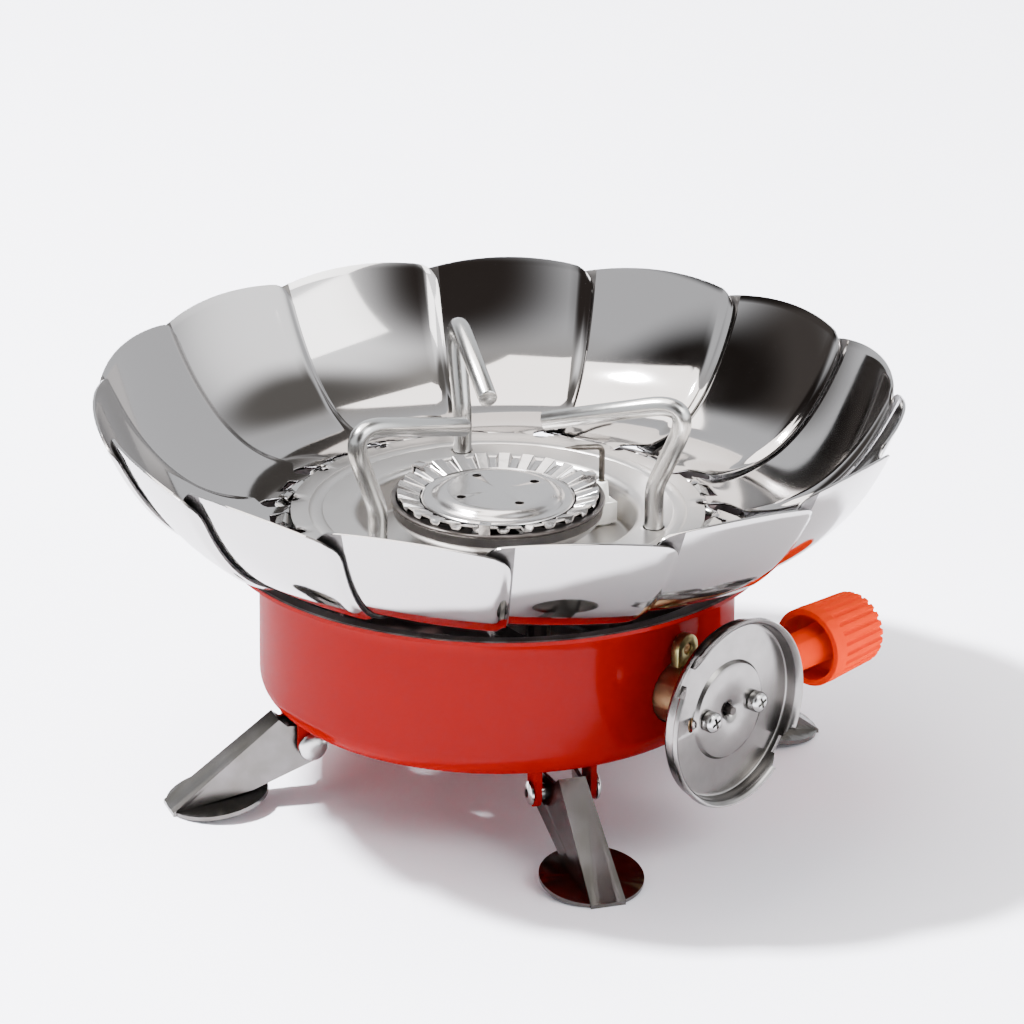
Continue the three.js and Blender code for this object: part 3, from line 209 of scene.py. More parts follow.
def sheet_outline(line, thickness):
    """The closed outline of a sheet from the line of its lower face, thickened to its left."""
    other = []
    for i, (r, z) in enumerate(line):
        before, after = line[max(i - 1, 0)], line[min(i + 1, len(line) - 1)]
        arriving = Vector((r - before[0], z - before[1]))
        leaving = Vector((after[0] - r, after[1] - z))
        arriving = (arriving if i else leaving).normalized()
        leaving = (leaving if i < len(line) - 1 else arriving).normalized()
        mitre = thickness / (1 + arriving.dot(leaving))
        other.append((r - (arriving.y + leaving.y) * mitre, z + (arriving.x + leaving.x) * mitre))
    return list(line) + other[::-1]


def turned(outline, sides=144):
    """A mesh turned about Z from a closed outline of radius and height, in millimetres."""
    made = bmesh.new()
    rings = []
    for r, z in outline:
        if abs(r) < 1e-6:
            rings.append([made.verts.new((0, 0, z))] * sides)
            continue
        angles = [2 * math.pi * i / sides for i in range(sides)]
        rings.append([made.verts.new((r * math.cos(a), r * math.sin(a), z)) for a in angles])
    for ring, following in zip(rings, rings[1:] + rings[:1]):
        for i in range(sides):
            j = (i + 1) % sides
            corners = list(dict.fromkeys([ring[i], ring[j], following[j], following[i]]))
            if len(corners) > 2:
                made.faces.new(corners)
    bmesh.ops.recalc_face_normals(made, faces=made.faces)
    return made


def plate(outline, thickness):
    """A flat plate in XY from a closed outline, from Z zero up to its thickness."""
    made = bmesh.new()
    low = [made.verts.new((x, y, 0)) for x, y in outline]
    high = [made.verts.new((x, y, thickness)) for x, y in outline]
    made.faces.new(low[::-1])
    made.faces.new(high)
    for i in range(len(low)):
        j = (i + 1) % len(low)
        made.faces.new((low[i], low[j], high[j], high[i]))
    bmesh.ops.recalc_face_normals(made, faces=made.faces)
    return made


def bar(radius, start, end, sides=48):
    """A round bar along Z."""
    return turned([(0, start), (radius, start), (radius, end), (0, end)], sides)


def moved(made, *matrices):
    """The mesh after each matrix in turn."""
    for matrix in matrices:
        made.transform(matrix)
    return made


ALONG_X = Matrix.Rotation(math.radians(90), 4, "Y")
ALONG_Y = Matrix.Rotation(math.radians(-90), 4, "X")


def shift(x=0, y=0, z=0):
    """A move in millimetres."""
    return Matrix.Translation((x, y, z))


def as_object(name, made):
    """The mesh as an object in metres, its own origin at the frame's origin."""
    made.transform(Matrix.Scale(MM, 4))
    data = bpy.data.meshes.new(name)
    made.to_mesh(data)
    made.free()
    item = bpy.data.objects.new(name, data)
    bpy.context.collection.objects.link(item)
    return item


def apply_modifiers(item):
    """Turns the object's modifiers into its mesh."""
    bpy.context.view_layer.update()
    seen = item.evaluated_get(bpy.context.evaluated_depsgraph_get())
    data = bpy.data.meshes.new_from_object(seen)
    item.modifiers.clear()
    item.data = data


def combine(item, cutters, operation="DIFFERENCE"):
    """Cuts the meshes from the object, or joins them to it."""
    for cutter in cutters:
        tool = as_object("tool", cutter)
        change = item.modifiers.new("change", "BOOLEAN")
        change.operation = operation
        change.solver = "EXACT"
        change.object = tool
        apply_modifiers(item)
        bpy.data.objects.remove(tool)


def soften_edges(item, width, angle):
    """Rounds the edges sharper than an angle in degrees, by a width in millimetres."""
    soften = item.modifiers.new("edges", "BEVEL")
    soften.width = width * MM
    soften.segments = 2
    soften.limit_method = "ANGLE"
    soften.angle_limit = math.radians(angle)
    apply_modifiers(item)


def dress(item, material, body, nodes, edge=0.0, smooth=40):
    """Gives a piece its material, softened edges in millimetres, smooth faces and its body."""
    item.data.materials.clear()
    item.data.materials.append(material)
    if edge:
        soften_edges(item, edge, smooth)
    item.data.shade_smooth()
    item.data.set_sharp_from_angle(angle=math.radians(smooth))
    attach(item, body)
    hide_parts(*nodes)


def grained_finish(name, colour, metallic, roughness, size, detail, strength, depth):
    """A finish with a grain in relief, size and depth in millimetres, and the grain itself."""
    material, tree, shader = new_finish(name, colour, metallic, roughness)
    place = add_node(tree, "ShaderNodeTexCoord").outputs["Object"]
    noise = {"Scale": 1 / (size * MM), "Detail": detail}
    grain = add_node(tree, "ShaderNodeTexNoise", {"Vector": place}, **noise).outputs["Fac"]
    relief = {"Strength": strength, "Distance": depth * MM}
    bump = add_node(tree, "ShaderNodeBump", {"Height": grain}, **relief)
    tree.links.new(bump.outputs["Normal"], shader.inputs["Normal"])
    return material, tree, shader, grain


def mottled_finish(name, light, dark, metallic, roughness, size, depth):
    """A finish with two shades in soft patches: size and depth in millimetres."""
    patched = (name, light, metallic, roughness, size, 4, 0.4, depth)
    material, tree, shader, patches = grained_finish(*patched)
    ramp = add_node(tree, "ShaderNodeValToRGB", {"Fac": patches})
    for element, colour, position in zip(ramp.color_ramp.elements, (dark, light), (0.32, 0.68)):
        element.color, element.position = linear(colour), position
    tree.links.new(ramp.outputs["Color"], shader.inputs["Base Color"])
    return material


def coat_faces(item, material, chosen):
    """Gives another material to the faces picked by chosen(radius, height, outwards, upwards)."""
    item.data.materials.append(material)
    place = len(item.data.materials) - 1
    for face in item.data.polygons:
        x, y, z = (c / MM for c in face.center)
        radius = math.hypot(x, y) or 1
        outwards = (face.normal.x * x + face.normal.y * y) / radius
        if chosen(radius, z, outwards, face.normal.z):
            face.material_index = place


# Red stoving enamel: sprayed and baked, a deep even red under a thin clear gloss, which is the
# coat. Spraying leaves an orange peel about 1.5 mm across that breaks up the highlights.
enamel, tree, shader, _ = grained_finish(
    "red_stoving_enamel", "#740201", 0, 0.35, size=1.5, detail=2, strength=0.06, depth=0.1
)
shader.inputs["Specular IOR Level"].default_value = 0
shader.inputs["Coat Weight"].default_value = 0.12
shader.inputs["Coat Roughness"].default_value = 0.12
tree.links.new(shader.inputs["Normal"].links[0].from_socket, shader.inputs["Coat Normal"])
# Painted shade on the enamel: the pan's inside made a dull dark brown in 5 mm patches, for the
# shade under the hub and petals.
enamel_painted_shade = mottled_finish("painted_shade_enamel", "#2b100c", "#1a0a08", 0, 0.6, 5, 0.05)
# Bare steel edge: handling has worn the lip's enamel through to a thin grey line of metal.
bare_edge = mottled_finish("bare_steel_edge", "#8d8a88", "#6d6a68", 1, 0.3, 2, 0.02)

lip_foot = PAN_TOP - PAN_SHEET
flare_start = (PAN_RADIUS, PAN_TOP - PAN_FLARE)
pan_line = [(0, PAN_UNDERSIDE)]
pan_line += arc(PAN_RADIUS - PAN_CORNER, PAN_UNDERSIDE + PAN_CORNER, PAN_CORNER, -90, 0, 14)
pan_line += curved(flare_start, (PAN_RADIUS, lip_foot), (PAN_LIP, lip_foot), 18)
pan = as_object("pan", turned(sheet_outline(pan_line, PAN_SHEET)))
pan_cuts = [
    moved(bar(AIR_HOLE, 10, 25), shift(AIR_HOLE_PLACE), around(360 / AIR_HOLES * i))
    for i in range(AIR_HOLES)
]
for radius, height, azimuth in (
    (VALVE_HOLE, VALVE_HEIGHT, VALVE_AZIMUTH),
    (RIVET_HOLE, RIVET_HEIGHT, VALVE_AZIMUTH),
    (PIEZO_HOLE, PIEZO_HEIGHT, PIEZO_AZIMUTH),
):
    pan_cuts.append(moved(bar(radius, 40, 60), ALONG_X, shift(z=height), facing(azimuth)))
combine(pan, pan_cuts)
dress(pan, enamel, "stove_body", ["body_pan"], edge=0.15)


def is_shaded_inside(radius, height, outwards, upwards):
    """The pan's inside, up to the lip's edge, which gets the painted shade."""
    return outwards < -0.3 or (upwards > 0.4 and radius < LIP_EDGE)


# The pan's inside gets the painted shade enamel.
coat_faces(pan, enamel_painted_shade, is_shaded_inside)
coat_faces(pan, bare_edge, lambda radius, z, outwards, upwards: radius > LIP_EDGE and z > 51)

# ---- Petals: fifteen blades of stainless sheet, pressed to a curve and polished to a mirror
# Each turns on the hinge ring by two rolled knuckles, and one edge lies inside its neighbour's.
# The long edges turn in a little, and the flanks that overlap have rubbed each other dull.
HINGE_RADIUS = 43
HINGE_HEIGHT = 54.6
HINGE_SKEW = math.radians(10)
PETALS = 15
PETAL_STEP = 360 / PETALS
FIRST_PETAL = 18
PETAL_SHEET = 0.5
PETAL_LENGTH = 55
ROOT_HEIGHT = 56.0
ROOT_HALF = 7.1
SHOULDER_START, SHOULDER_END = 47, 50.5
CONTROL = (67.5, 50)
RIM = (79.8, 79.5)
HALF_ANGLE = math.radians(14.2)
ARCH = 2.4
CORNER = 4
LEAN, LEAN_END = math.radians(-3.6), 48
EDGE_TURN = 0.8
NOTCH, NOTCH_END = (14, 6.4, 16), 45.8
KNUCKLE_WIDTH, KNUCKLE_STARTS = 2.6, (-6, 3.4)
KNUCKLE_INNER, KNUCKLE_OUTER = 1.15, 1.65

# Mirror-polished stainless: buffed sheet that isn't quite flat, so what it mirrors bends over
# some 28 mm. Wipe marks about 9 mm wide make the gloss a little uneven.
polished, tree, shader, _ = grained_finish(
    "mirror_polished_stainless", "#a9a6a4", 1, 0.045, size=28, detail=1, strength=1, depth=0.14
)
place = add_node(tree, "ShaderNodeTexCoord").outputs["Object"]
smears = add_node(tree, "ShaderNodeTexNoise", {"Vector": place}, Scale=1 / (9 * MM), Detail=6)
smears = smears.outputs["Fac"]
smear_range = add_node(tree, "ShaderNodeMapRange", {"Value": smears}, To_Min=0.03, To_Max=0.1)
tree.links.new(smear_range.outputs["Result"], shader.inputs["Roughness"])
# Rubbed stainless: the polish has worn to a dull grey where blade slides over blade.
rubbed = mottled_finish("rubbed_stainless", "#5c5957", "#4b4846", 0.9, 0.34, 3, 0.02)


def smoothstep(value, low, high):
    """0 below low, 1 above high, and a smooth rise between."""
    t = min(max((value - low) / (high - low), 0), 1)
    return t * t * (3 - 2 * t)


def petal_point(s, t):
    """A place on a petal's middle surface: s from edge to edge, t from root to rim."""
    inset = min((1 - abs(s)) * RIM[0] * math.sin(HALF_ANGLE), CORNER)
    corner = CORNER - math.sqrt(CORNER**2 - (CORNER - inset) ** 2)
    t *= 1 - corner / PETAL_LENGTH
    root = (HINGE_RADIUS, ROOT_HEIGHT)
    first, middle, last = (1 - t) ** 2, 2 * t * (1 - t), t * t
    radius, height = (first * a + middle * b + last * c for a, b, c in zip(root, CONTROL, RIM))
    rise = Vector((RIM[0] - CONTROL[0], RIM[1] - CONTROL[1])).normalized()
    root_half = math.asin(ROOT_HALF / radius)
    shoulder = smoothstep(radius, SHOULDER_START, SHOULDER_END)
    half = root_half + (HALF_ANGLE - root_half) * shoulder
    skew_left = 1 - smoothstep(radius, HINGE_RADIUS, SHOULDER_END)
    lift = ARCH * (1 - s * s) * t**4
    reach = radius + rise.x * lift
    width = reach * math.sin(half * s)
    skewed = reach * math.cos(half * s) + width * math.tan(HINGE_SKEW) * skew_left
    place = Vector((skewed, width, height + rise.y * lift))
    along = [(1 - t) * (b - a) + t * (c - b) for a, b, c in zip(root, CONTROL, RIM)]
    along = Vector(along).normalized()
    inwards = Vector((-along.y * math.cos(half * s), -along.y * math.sin(half * s), along.x))
    turned_share = smoothstep(abs(s), 0.86, 1) * smoothstep(t, 0.15, 0.45)
    place += inwards * math.copysign(EDGE_TURN * turned_share, s)
    start = Vector((root[0], 0, root[1]))
    chord = Vector((RIM[0] - root[0], 0, RIM[1] - root[1]))
    lean = LEAN * smoothstep(radius, HINGE_RADIUS, LEAN_END)
    return start + Matrix.Rotation(lean, 3, chord) @ (place - start)


def petal_mesh():
    """One petal at angle zero, with its notch and its two rolled knuckles."""
    near_edge = [0.89, 0.93, 0.96, 0.985, 1]
    shares = [-s for s in near_edge[::-1]] + [i / 12 for i in range(-10, 11)] + near_edge
    rows = [i / 44 for i in range(45)]
    made = bmesh.new()
    grid = [[made.verts.new(petal_point(s, t)) for s in shares] for t in rows]
    for low, high in zip(grid, grid[1:]):
        for i in range(len(shares) - 1):
            made.faces.new((low[i], high[i], high[i + 1], low[i + 1]))
    blade = as_object("blade", made)
    thick = blade.modifiers.new("sheet", "SOLIDIFY")
    thick.thickness = PETAL_SHEET * MM
    thick.offset = 0
    thick.use_even_offset = True
    apply_modifiers(blade)
    notch = bmesh.new()
    bmesh.ops.create_cube(notch, size=1)
    moved(notch, Matrix.Diagonal((*NOTCH, 1)), shift(NOTCH_END - NOTCH[0] / 2, 0, HINGE_HEIGHT))
    combine(blade, [notch])
    curl = arc(0, 0, KNUCKLE_OUTER, 70, 330, 24) + arc(0, 0, KNUCKLE_INNER, 330, 70, 24)
    lie = Matrix.Rotation(math.radians(90), 4, "X")
    skewed = Matrix.Rotation(-HINGE_SKEW, 4, "Z")
    for start in KNUCKLE_STARTS:
        knuckle = moved(plate(curl, KNUCKLE_WIDTH), lie, shift(y=start + KNUCKLE_WIDTH), skewed)
        combine(blade, [moved(knuckle, shift(HINGE_RADIUS, 0, HINGE_HEIGHT))], "UNION")
    return blade


pattern = petal_mesh()
soften_edges(pattern, 0.12, 50)
overlap = []
for face in pattern.data.polygons:
    x, y, z = (c / MM for c in face.center)
    side = math.atan2(y, x) / HALF_ANGLE
    convex = face.normal.x - face.normal.z > 0
    if math.hypot(x, y) > 50 and (side < -0.68 and convex or side > 0.68 and not convex):
        overlap.append(face.index)
for i in range(PETALS):
    node = f"petal_{i + 1:02d}"
    petal = bpy.data.objects.new(f"blade_{i + 1:02d}", pattern.data.copy())
    petal.data.transform(around(FIRST_PETAL + PETAL_STEP * i))
    bpy.context.collection.objects.link(petal)
    dress(petal, polished, node, [node], smooth=35)
    petal.data.materials.append(rubbed)
    for index in overlap:
        petal.data.polygons[index].material_index = 1
bpy.data.objects.remove(pattern)

# ---- Hub disc: a dished cover of satin stainless sheet with a pressed well for the burner
# A bead runs round it near the edge, and half-round dimples are stamped between the petals.
HUB_SHEET = 0.5
HUB_UNDERSIDE = 56.6
HUB_RADIUS = 41.6
HUB_BORE = 5.6
WELL_FLOOR = 49.4
BEAD_RADIUS, BEAD_HALF, BEAD_RISE = 36.6, 1.2, 0.3
DIMPLE = 1.6
SUPPORTS = [73.4, 193.4, 313.4]
SUPPORT_PLACE, SUPPORT_HOLE = 32.5, 2.25
SPARK_AZIMUTH, SPARK_PLACE, SPARK_HOLE = 118, 23.8, 2.3

# Satin stainless: the rolled sheet's fine matt skin, so it looks an even pale grey. The skin's
# grain is far below a millimetre, drawn at 4 mm so that it shows.
satin, tree, shader, skin = grained_finish(
    "satin_rolled_stainless", "#b2afac", 1, 0.3, size=4, detail=5, strength=0.3, depth=0.05
)
skin_range = add_node(tree, "ShaderNodeMapRange", {"Value": skin}, To_Min=0.26, To_Max=0.34)
tree.links.new(skin_range.outputs["Result"], shader.inputs["Roughness"])

hub_line = [(HUB_BORE, WELL_FLOOR), (26.0, WELL_FLOOR)]
hub_line += curved((26.4, WELL_FLOOR), (27.3, WELL_FLOOR), (27.5, 50.4), 5)
hub_line += [(28.2, 55.0)]
hub_line += curved((28.25, 55.4), (28.5, HUB_UNDERSIDE), (29.9, HUB_UNDERSIDE), 6)
hub_line += [(35.3, HUB_UNDERSIDE)]
for i in range(9):
    a = math.pi * (1 - i / 8)
    bead_height = HUB_UNDERSIDE + BEAD_RISE * math.sin(a)
    hub_line.append((BEAD_RADIUS + BEAD_HALF * math.cos(a), bead_height))
hub_line += [(38.0, HUB_UNDERSIDE), (HUB_RADIUS, HUB_UNDERSIDE)]
hub = as_object("hub_cover", turned(sheet_outline(hub_line, HUB_SHEET), 180))
hub_cuts = [
    moved(bar(SUPPORT_HOLE, 40, 70, 32), shift(SUPPORT_PLACE), facing(azimuth))
    for azimuth in SUPPORTS
]
hub_cuts.append(moved(bar(SPARK_HOLE, 40, 60, 32), shift(SPARK_PLACE), facing(SPARK_AZIMUTH)))
for i in range(PETALS):
    between = around(FIRST_PETAL + PETAL_STEP * (i + 0.5))
    hub_cuts.append(moved(bar(DIMPLE, 40, 70, 24), shift(HUB_RADIUS), between))
combine(hub, hub_cuts)
dress(hub, satin, "stove_body", ["hub_disc"], edge=0.1)

# ---- Burner: a pressed cup, a cap with a raised middle, and a pleated strip between them
# All are bright stainless pressings, and the cup's rim and inside carry painted shade from the
# strip and cap above it. The pleats leave the flame slots, and three crimped lugs on the cup hold
# the strip and the cap down.
CUP_SHEET = 0.7
CUP_FLOOR = 50.2
CUP_RADIUS, CUP_RIM = 21.2, 58.9
ROLL_RADIUS, ROLL_HEIGHT = 0.4, 59.3
FIRST_LUG, LUG_WIDTH = 23, 2.2
CAP_SHEET = 0.5
CAP_TOP, CAP_VALLEY = 60.7, 59.1
CAP_HOLE, CAP_HOLE_PLACE, FIRST_CAP_HOLE = 0.95, 8.5, 30.6
PLEATS = 26
STRIP_SHEET = 0.3
STRIP_INNER, STRIP_WIDTH = 15.8, 4.4

# Bright pressed stainless: shiny from the press tool, with shallow ripples about 6 mm apart
# that bend its reflections.
pressed = grained_finish(
    "bright_pressed_stainless", "#bbb8b6", 1, 0.2, size=6, detail=3, strength=0.8, depth=0.1
)[0]
# Painted shade on steel: a dull dark grey-brown in 4 mm patches, for the shade inside the burner
# cup and in the inlet's hole.
steel_painted_shade = mottled_finish("painted_shade_steel", "#55504d", "#3a3634", 1, 0.42, 4, 0.05)

cup_line = [(HUB_BORE, CUP_FLOOR), (7.6, CUP_FLOOR)]
cup_line += curved((8, CUP_FLOOR), (20.6, 53.2), (CUP_RADIUS, 57.2), 14)
cup_line += [(CUP_RADIUS, CUP_RIM)]
cup_outline = sheet_outline(cup_line, CUP_SHEET)
rolled_rim = arc(CUP_RADIUS, ROLL_HEIGHT, ROLL_RADIUS, -70, 90, 8) + [(20.6, 59.7), (20.5, 59.5)]
cup_outline[len(cup_line) : len(cup_line)] = rolled_rim
cup = as_object("cup", turned(cup_outline))
lug = [(20.6, 59.0), (21.1, 59.0), (21.1, 61.8), (18.7, 61.8), (18.7, 61.3), (20.6, 61.3)]
upright = Matrix.Rotation(math.radians(90), 4, "X")
crimps = [
    moved(plate(lug, LUG_WIDTH), upright, shift(y=LUG_WIDTH / 2), around(FIRST_LUG + 120 * i))
    for i in range(3)
]
combine(cup, crimps, "UNION")
dress(cup, pressed, "stove_body", ["burner_cup"], edge=0.12)


def is_shaded_cup(radius, height, outwards, upwards):
    """The cup's rolled rim and its inside, in the shade of the strip and cap, but not the lugs."""
    return height < 60 and (height > 58.95 or outwards < -0.2 or upwards > 0.3)


# The cup's rim and inside get the painted shade steel.
coat_faces(cup, steel_painted_shade, is_shaded_cup)

cap_line = [(0, CAP_TOP), (10.2, CAP_TOP)]
cap_line += curved((10.2, CAP_TOP), (11.4, CAP_TOP), (12.1, 60.0), 8)
cap_line += curved((12.1, 60.0), (12.9, CAP_VALLEY), (13.9, CAP_VALLEY), 8)
cap_line += [(15.1, CAP_VALLEY), (15.5, 59.5)]
cap = as_object("cap", turned(sheet_outline(cap_line, CAP_SHEET)))
cap_holes = []
for i in range(4):
    a = math.radians(90 * i + FIRST_CAP_HOLE)
    place = shift(CAP_HOLE_PLACE * math.cos(a), CAP_HOLE_PLACE * math.sin(a))
    cap_holes.append(moved(bar(CAP_HOLE, 55, 65, 32), place))
combine(cap, cap_holes)
dress(cap, pressed, "stove_body", ["burner_cap"], edge=0.1)


def pleat(angle):
    """How low the strip lies at an angle: 0 on a raised facet, 1 on a low one, short slopes."""
    share = (angle * PLEATS / (2 * math.pi)) % 1
    return smoothstep(share, 0.48, 0.62) - smoothstep(share, 0.88, 1)


strip = bmesh.new()
columns = PLEATS * 25
levels = 9
grid = []
for i in range(columns):
    angle = 2 * math.pi * i / columns
    column = []
    for j in range(levels):
        share = j / (levels - 1)
        radius = STRIP_INNER + STRIP_WIDTH * share
        height = 59.5 + 1.6 * share - (0.4 + 0.6 * share) * pleat(angle)
        column.append(strip.verts.new((radius * math.cos(angle), radius * math.sin(angle), height)))
    grid.append(column)
for i in range(columns):
    for j in range(levels - 1):
        following = grid[(i + 1) % columns]
        strip.faces.new((grid[i][j], following[j], following[j + 1], grid[i][j + 1]))
bmesh.ops.recalc_face_normals(strip, faces=strip.faces)
pleats = as_object("pleated_strip", strip)
thick = pleats.modifiers.new("sheet", "SOLIDIFY")
thick.thickness = STRIP_SHEET * MM
thick.offset = -1
apply_modifiers(pleats)
dress(pleats, pressed, "stove_body", ["flame_ring"], smooth=50)

# ---- Pot supports: three drawn steel rods, bent and then plated with bright zinc
# Each stands in a hole of the hub, turns there, and has a small collar that keeps it down.
SUPPORT_RADIUS = 1.95
SUPPORT_FOOT, SUPPORT_SHOULDER = (SUPPORT_PLACE, 0, 52.4), (SUPPORT_PLACE, 0, 65.5)
SUPPORT_PEAK, SUPPORT_END = (40.7, 0, 85), (9.3, 0, 77)
SUPPORT_BENDS = [10, 5]
COLLAR_RADIUS, COLLAR_LOW, COLLAR_HIGH = 3.1, 52.3, 53.9

# Bright zinc plate: a clean neutral grey. The drawn rod's grain under it is about 0.1 mm, drawn
# at 1.2 mm so that it softens the highlights.
zinc, tree, shader, grain = grained_finish(
    "bright_zinc_plate", "#bab9b6", 1, 0.22, size=1.2, detail=4, strength=0.15, depth=0.03
)
grain_range = add_node(tree, "ShaderNodeMapRange", {"Value": grain}, To_Min=0.19, To_Max=0.27)
tree.links.new(grain_range.outputs["Result"], shader.inputs["Roughness"])


def bent_path(corners, bends, steps=12):
    """The centre line of a rod, its corners rounded."""
    path = [Vector(corners[0])]
    for i, bend in enumerate(bends):
        before, corner, after = (Vector(c) for c in corners[i : i + 3])
        back, onward = (before - corner).normalized(), (after - corner).normalized()
        trim = bend / math.tan(back.angle(onward) / 2)
        bent = curved(corner + back * trim, corner, corner + onward * trim, steps)
        path += [Vector(p) for p in bent]
    path.append(Vector(corners[-1]))
    return path


def rod(path, radii, sides=32, chamfer=0.25):
    """A round rod along a path: one radius with chamfered ends, or a list of radii."""
    if not isinstance(radii, list):
        first, last = (path[1] - path[0]).normalized(), (path[-2] - path[-1]).normalized()
        near_start, near_end = path[0] + first * chamfer, path[-1] + last * chamfer
        path = [path[0], near_start] + path[1:-1] + [near_end, path[-1]]
        radii = [radii - chamfer] + [radii] * (len(path) - 2) + [radii - chamfer]
    made = bmesh.new()
    rings = []
    side = None
    for i, place in enumerate(path):
        back = (place - path[i - 1]).normalized() if i else (path[1] - path[0]).normalized()
        onward = (path[i + 1] - place).normalized() if i < len(path) - 1 else back
        along = (back + onward).normalized()
        if side is None:
            side = along.orthogonal().normalized()
        side = (side - along * side.dot(along)).normalized()
        other = along.cross(side)
        ring = []
        for j in range(sides):
            a = 2 * math.pi * j / sides
            offset = side * math.cos(a) + other * math.sin(a)
            ring.append(made.verts.new(place + offset * radii[i]))
        rings.append(ring)
    for ring, following in zip(rings, rings[1:]):
        for j in range(sides):
            k = (j + 1) % sides
            made.faces.new((ring[j], ring[k], following[k], following[j]))
    made.faces.new(rings[0][::-1])
    made.faces.new(rings[-1])
    bmesh.ops.recalc_face_normals(made, faces=made.faces)
    return made


support_corners = [SUPPORT_FOOT, SUPPORT_SHOULDER, SUPPORT_PEAK, SUPPORT_END]
for i, azimuth in enumerate(SUPPORTS):
    bent = moved(rod(bent_path(support_corners, SUPPORT_BENDS), SUPPORT_RADIUS), facing(azimuth))
    support = as_object(f"support_rod_{i + 1}", bent)
    collar = bar(COLLAR_RADIUS, COLLAR_LOW, COLLAR_HIGH)
    combine(support, [moved(collar, shift(SUPPORT_PLACE), facing(azimuth))], "UNION")
    dress(support, zinc, f"pot_support_{i + 1}", [f"pot_support_{i + 1}"], smooth=50)

# ---- Legs: stamped stainless channels that fold under the pan, each on a pin in a red clevis
# The toe is folded back into a round foot, tilted so that only its outer edge stands on the
# ground. The clevis is enamelled with the pan, and the hollow pin has a domed head.
FIRST_LEG = 18.85
LEG_SHEET = 0.8
LEG_PIVOT = (41, 13)
LEG_HEAD = 4.2
LEG_TOP = (46.9, 0, 17.9)
LEG_KNEE = (53, 3.9)
LEG_TOE = 69.3
LEG_LAND = 1.9
TOP_HALF, TOE_HALF, TAPER = 2.8, 3.6, 0.8
LEG_SPLAY = math.radians(11)
FOOT_RADIUS, FOOT_TILT = 10.4, math.radians(9)
PIN_HOLE = 1.8
CLEVIS_INNER, CLEVIS_OUTER, CLEVIS_HALF, CLEVIS_BASE = 37.6, 42.2, 6.3, 0.8
EAR_RADIUS, EAR_SHEET, EAR_STARTS = 2.8, 1.2, (-5.1, 6.3)


def rectangle(low, high, half):
    """The outline of a rectangle from low to high along X, half its width to each side."""
    return [(low, -half), (high, -half), (high, half), (low, half)]


def leg_mesh():
    """One leg in the radial plane: a web, two splayed sides and a round foot."""
    top = Vector(LEG_TOP)
    slope = math.atan2(top.z - LEG_SHEET, LEG_TOE - top.x)
    down = Vector((math.cos(slope), 0, -math.sin(slope)))
    length = (LEG_TOE - top.x) / math.cos(slope)
    web = [(0, -TOP_HALF), (length, -TOE_HALF), (length, TOE_HALF), (0, TOP_HALF)]
    sloping = Matrix.Rotation(slope, 4, "Y")
    made = moved(plate(web, LEG_SHEET), shift(z=-LEG_SHEET), sloping, Matrix.Translation(top))
    leg = as_object("leg", made)
    run, drop = LEG_KNEE[0] - LEG_PIVOT[0], LEG_KNEE[1] - LEG_PIVOT[1]
    tangent = math.degrees(math.atan2(drop, run) - math.acos(LEG_HEAD / math.hypot(run, drop)))
    head_top = LEG_PIVOT[1] + LEG_HEAD - LEG_SHEET
    start = 180 - math.degrees(math.asin((head_top - LEG_PIVOT[1]) / LEG_HEAD))
    side = [(top.x, top.z), (LEG_PIVOT[0] + LEG_HEAD, head_top)]
    side += arc(*LEG_PIVOT, LEG_HEAD, start, 360 + tangent, 28)
    side += [LEG_KNEE, (LEG_TOE - 1, LEG_SHEET), (LEG_TOE, LEG_SHEET)]
    taper = math.atan2(TAPER, length)
    parts = []
    for way in (-1, 1):
        edge = way * TOP_HALF
        inner = edge if way > 0 else edge + LEG_SHEET
        sheet = moved(plate(side, LEG_SHEET), upright, shift(y=inner))
        corner = top + Vector((0, edge, 0))
        splay = Matrix.Rotation(way * LEG_SPLAY, 4, down)
        widen = Matrix.Rotation(way * taper, 4, "Z")
        there, back = Matrix.Translation(corner), Matrix.Translation(-corner)
        parts.append(moved(sheet, back, splay, widen, there))
    foot = moved(bar(FOOT_RADIUS, 0, LEG_SHEET, 96), shift(-FOOT_RADIUS))
    parts.append(moved(foot, Matrix.Rotation(FOOT_TILT, 4, "Y"), shift(LEG_TOE)))
    parts.append(plate(rectangle(LEG_TOE - LEG_LAND, LEG_TOE, TOE_HALF), LEG_SHEET))
    combine(leg, parts, "UNION")
    hole = moved(bar(PIN_HOLE, -12, 12, 32), ALONG_Y, shift(LEG_PIVOT[0], 0, LEG_PIVOT[1]))
    combine(leg, [hole])
    return leg


# Tumbled stainless: stamped, then polished in a barrel, so it is greyer and softer than the
# blades, with faint 6 mm clouds.
tumbled = mottled_finish("tumbled_stainless", "#676462", "#57544f", 1, 0.22, 6, 0.06)
leg_pattern = leg_mesh()
ear_outline = [(LEG_PIVOT[0] + EAR_RADIUS, PAN_UNDERSIDE)]
ear_outline += [(LEG_PIVOT[0] - EAR_RADIUS, PAN_UNDERSIDE)]
ear_outline += arc(*LEG_PIVOT, EAR_RADIUS, 180, 360, 24)
pin_outline = [(0, -5.9), (0.9, -5.9), (0.9, -7.4), (1.4, -7.4), (2.3, -7.0), (2.4, -6.6)]
pin_outline += [(1.5, -6.6), (1.5, 6.6), (3.0, 6.6)]
for i in range(8):
    a = math.pi * i / 16
    pin_outline.append((3.0 * math.cos(a), 6.8 + 1.1 * math.sin(a)))
pin_outline += [(0, 7.9)]
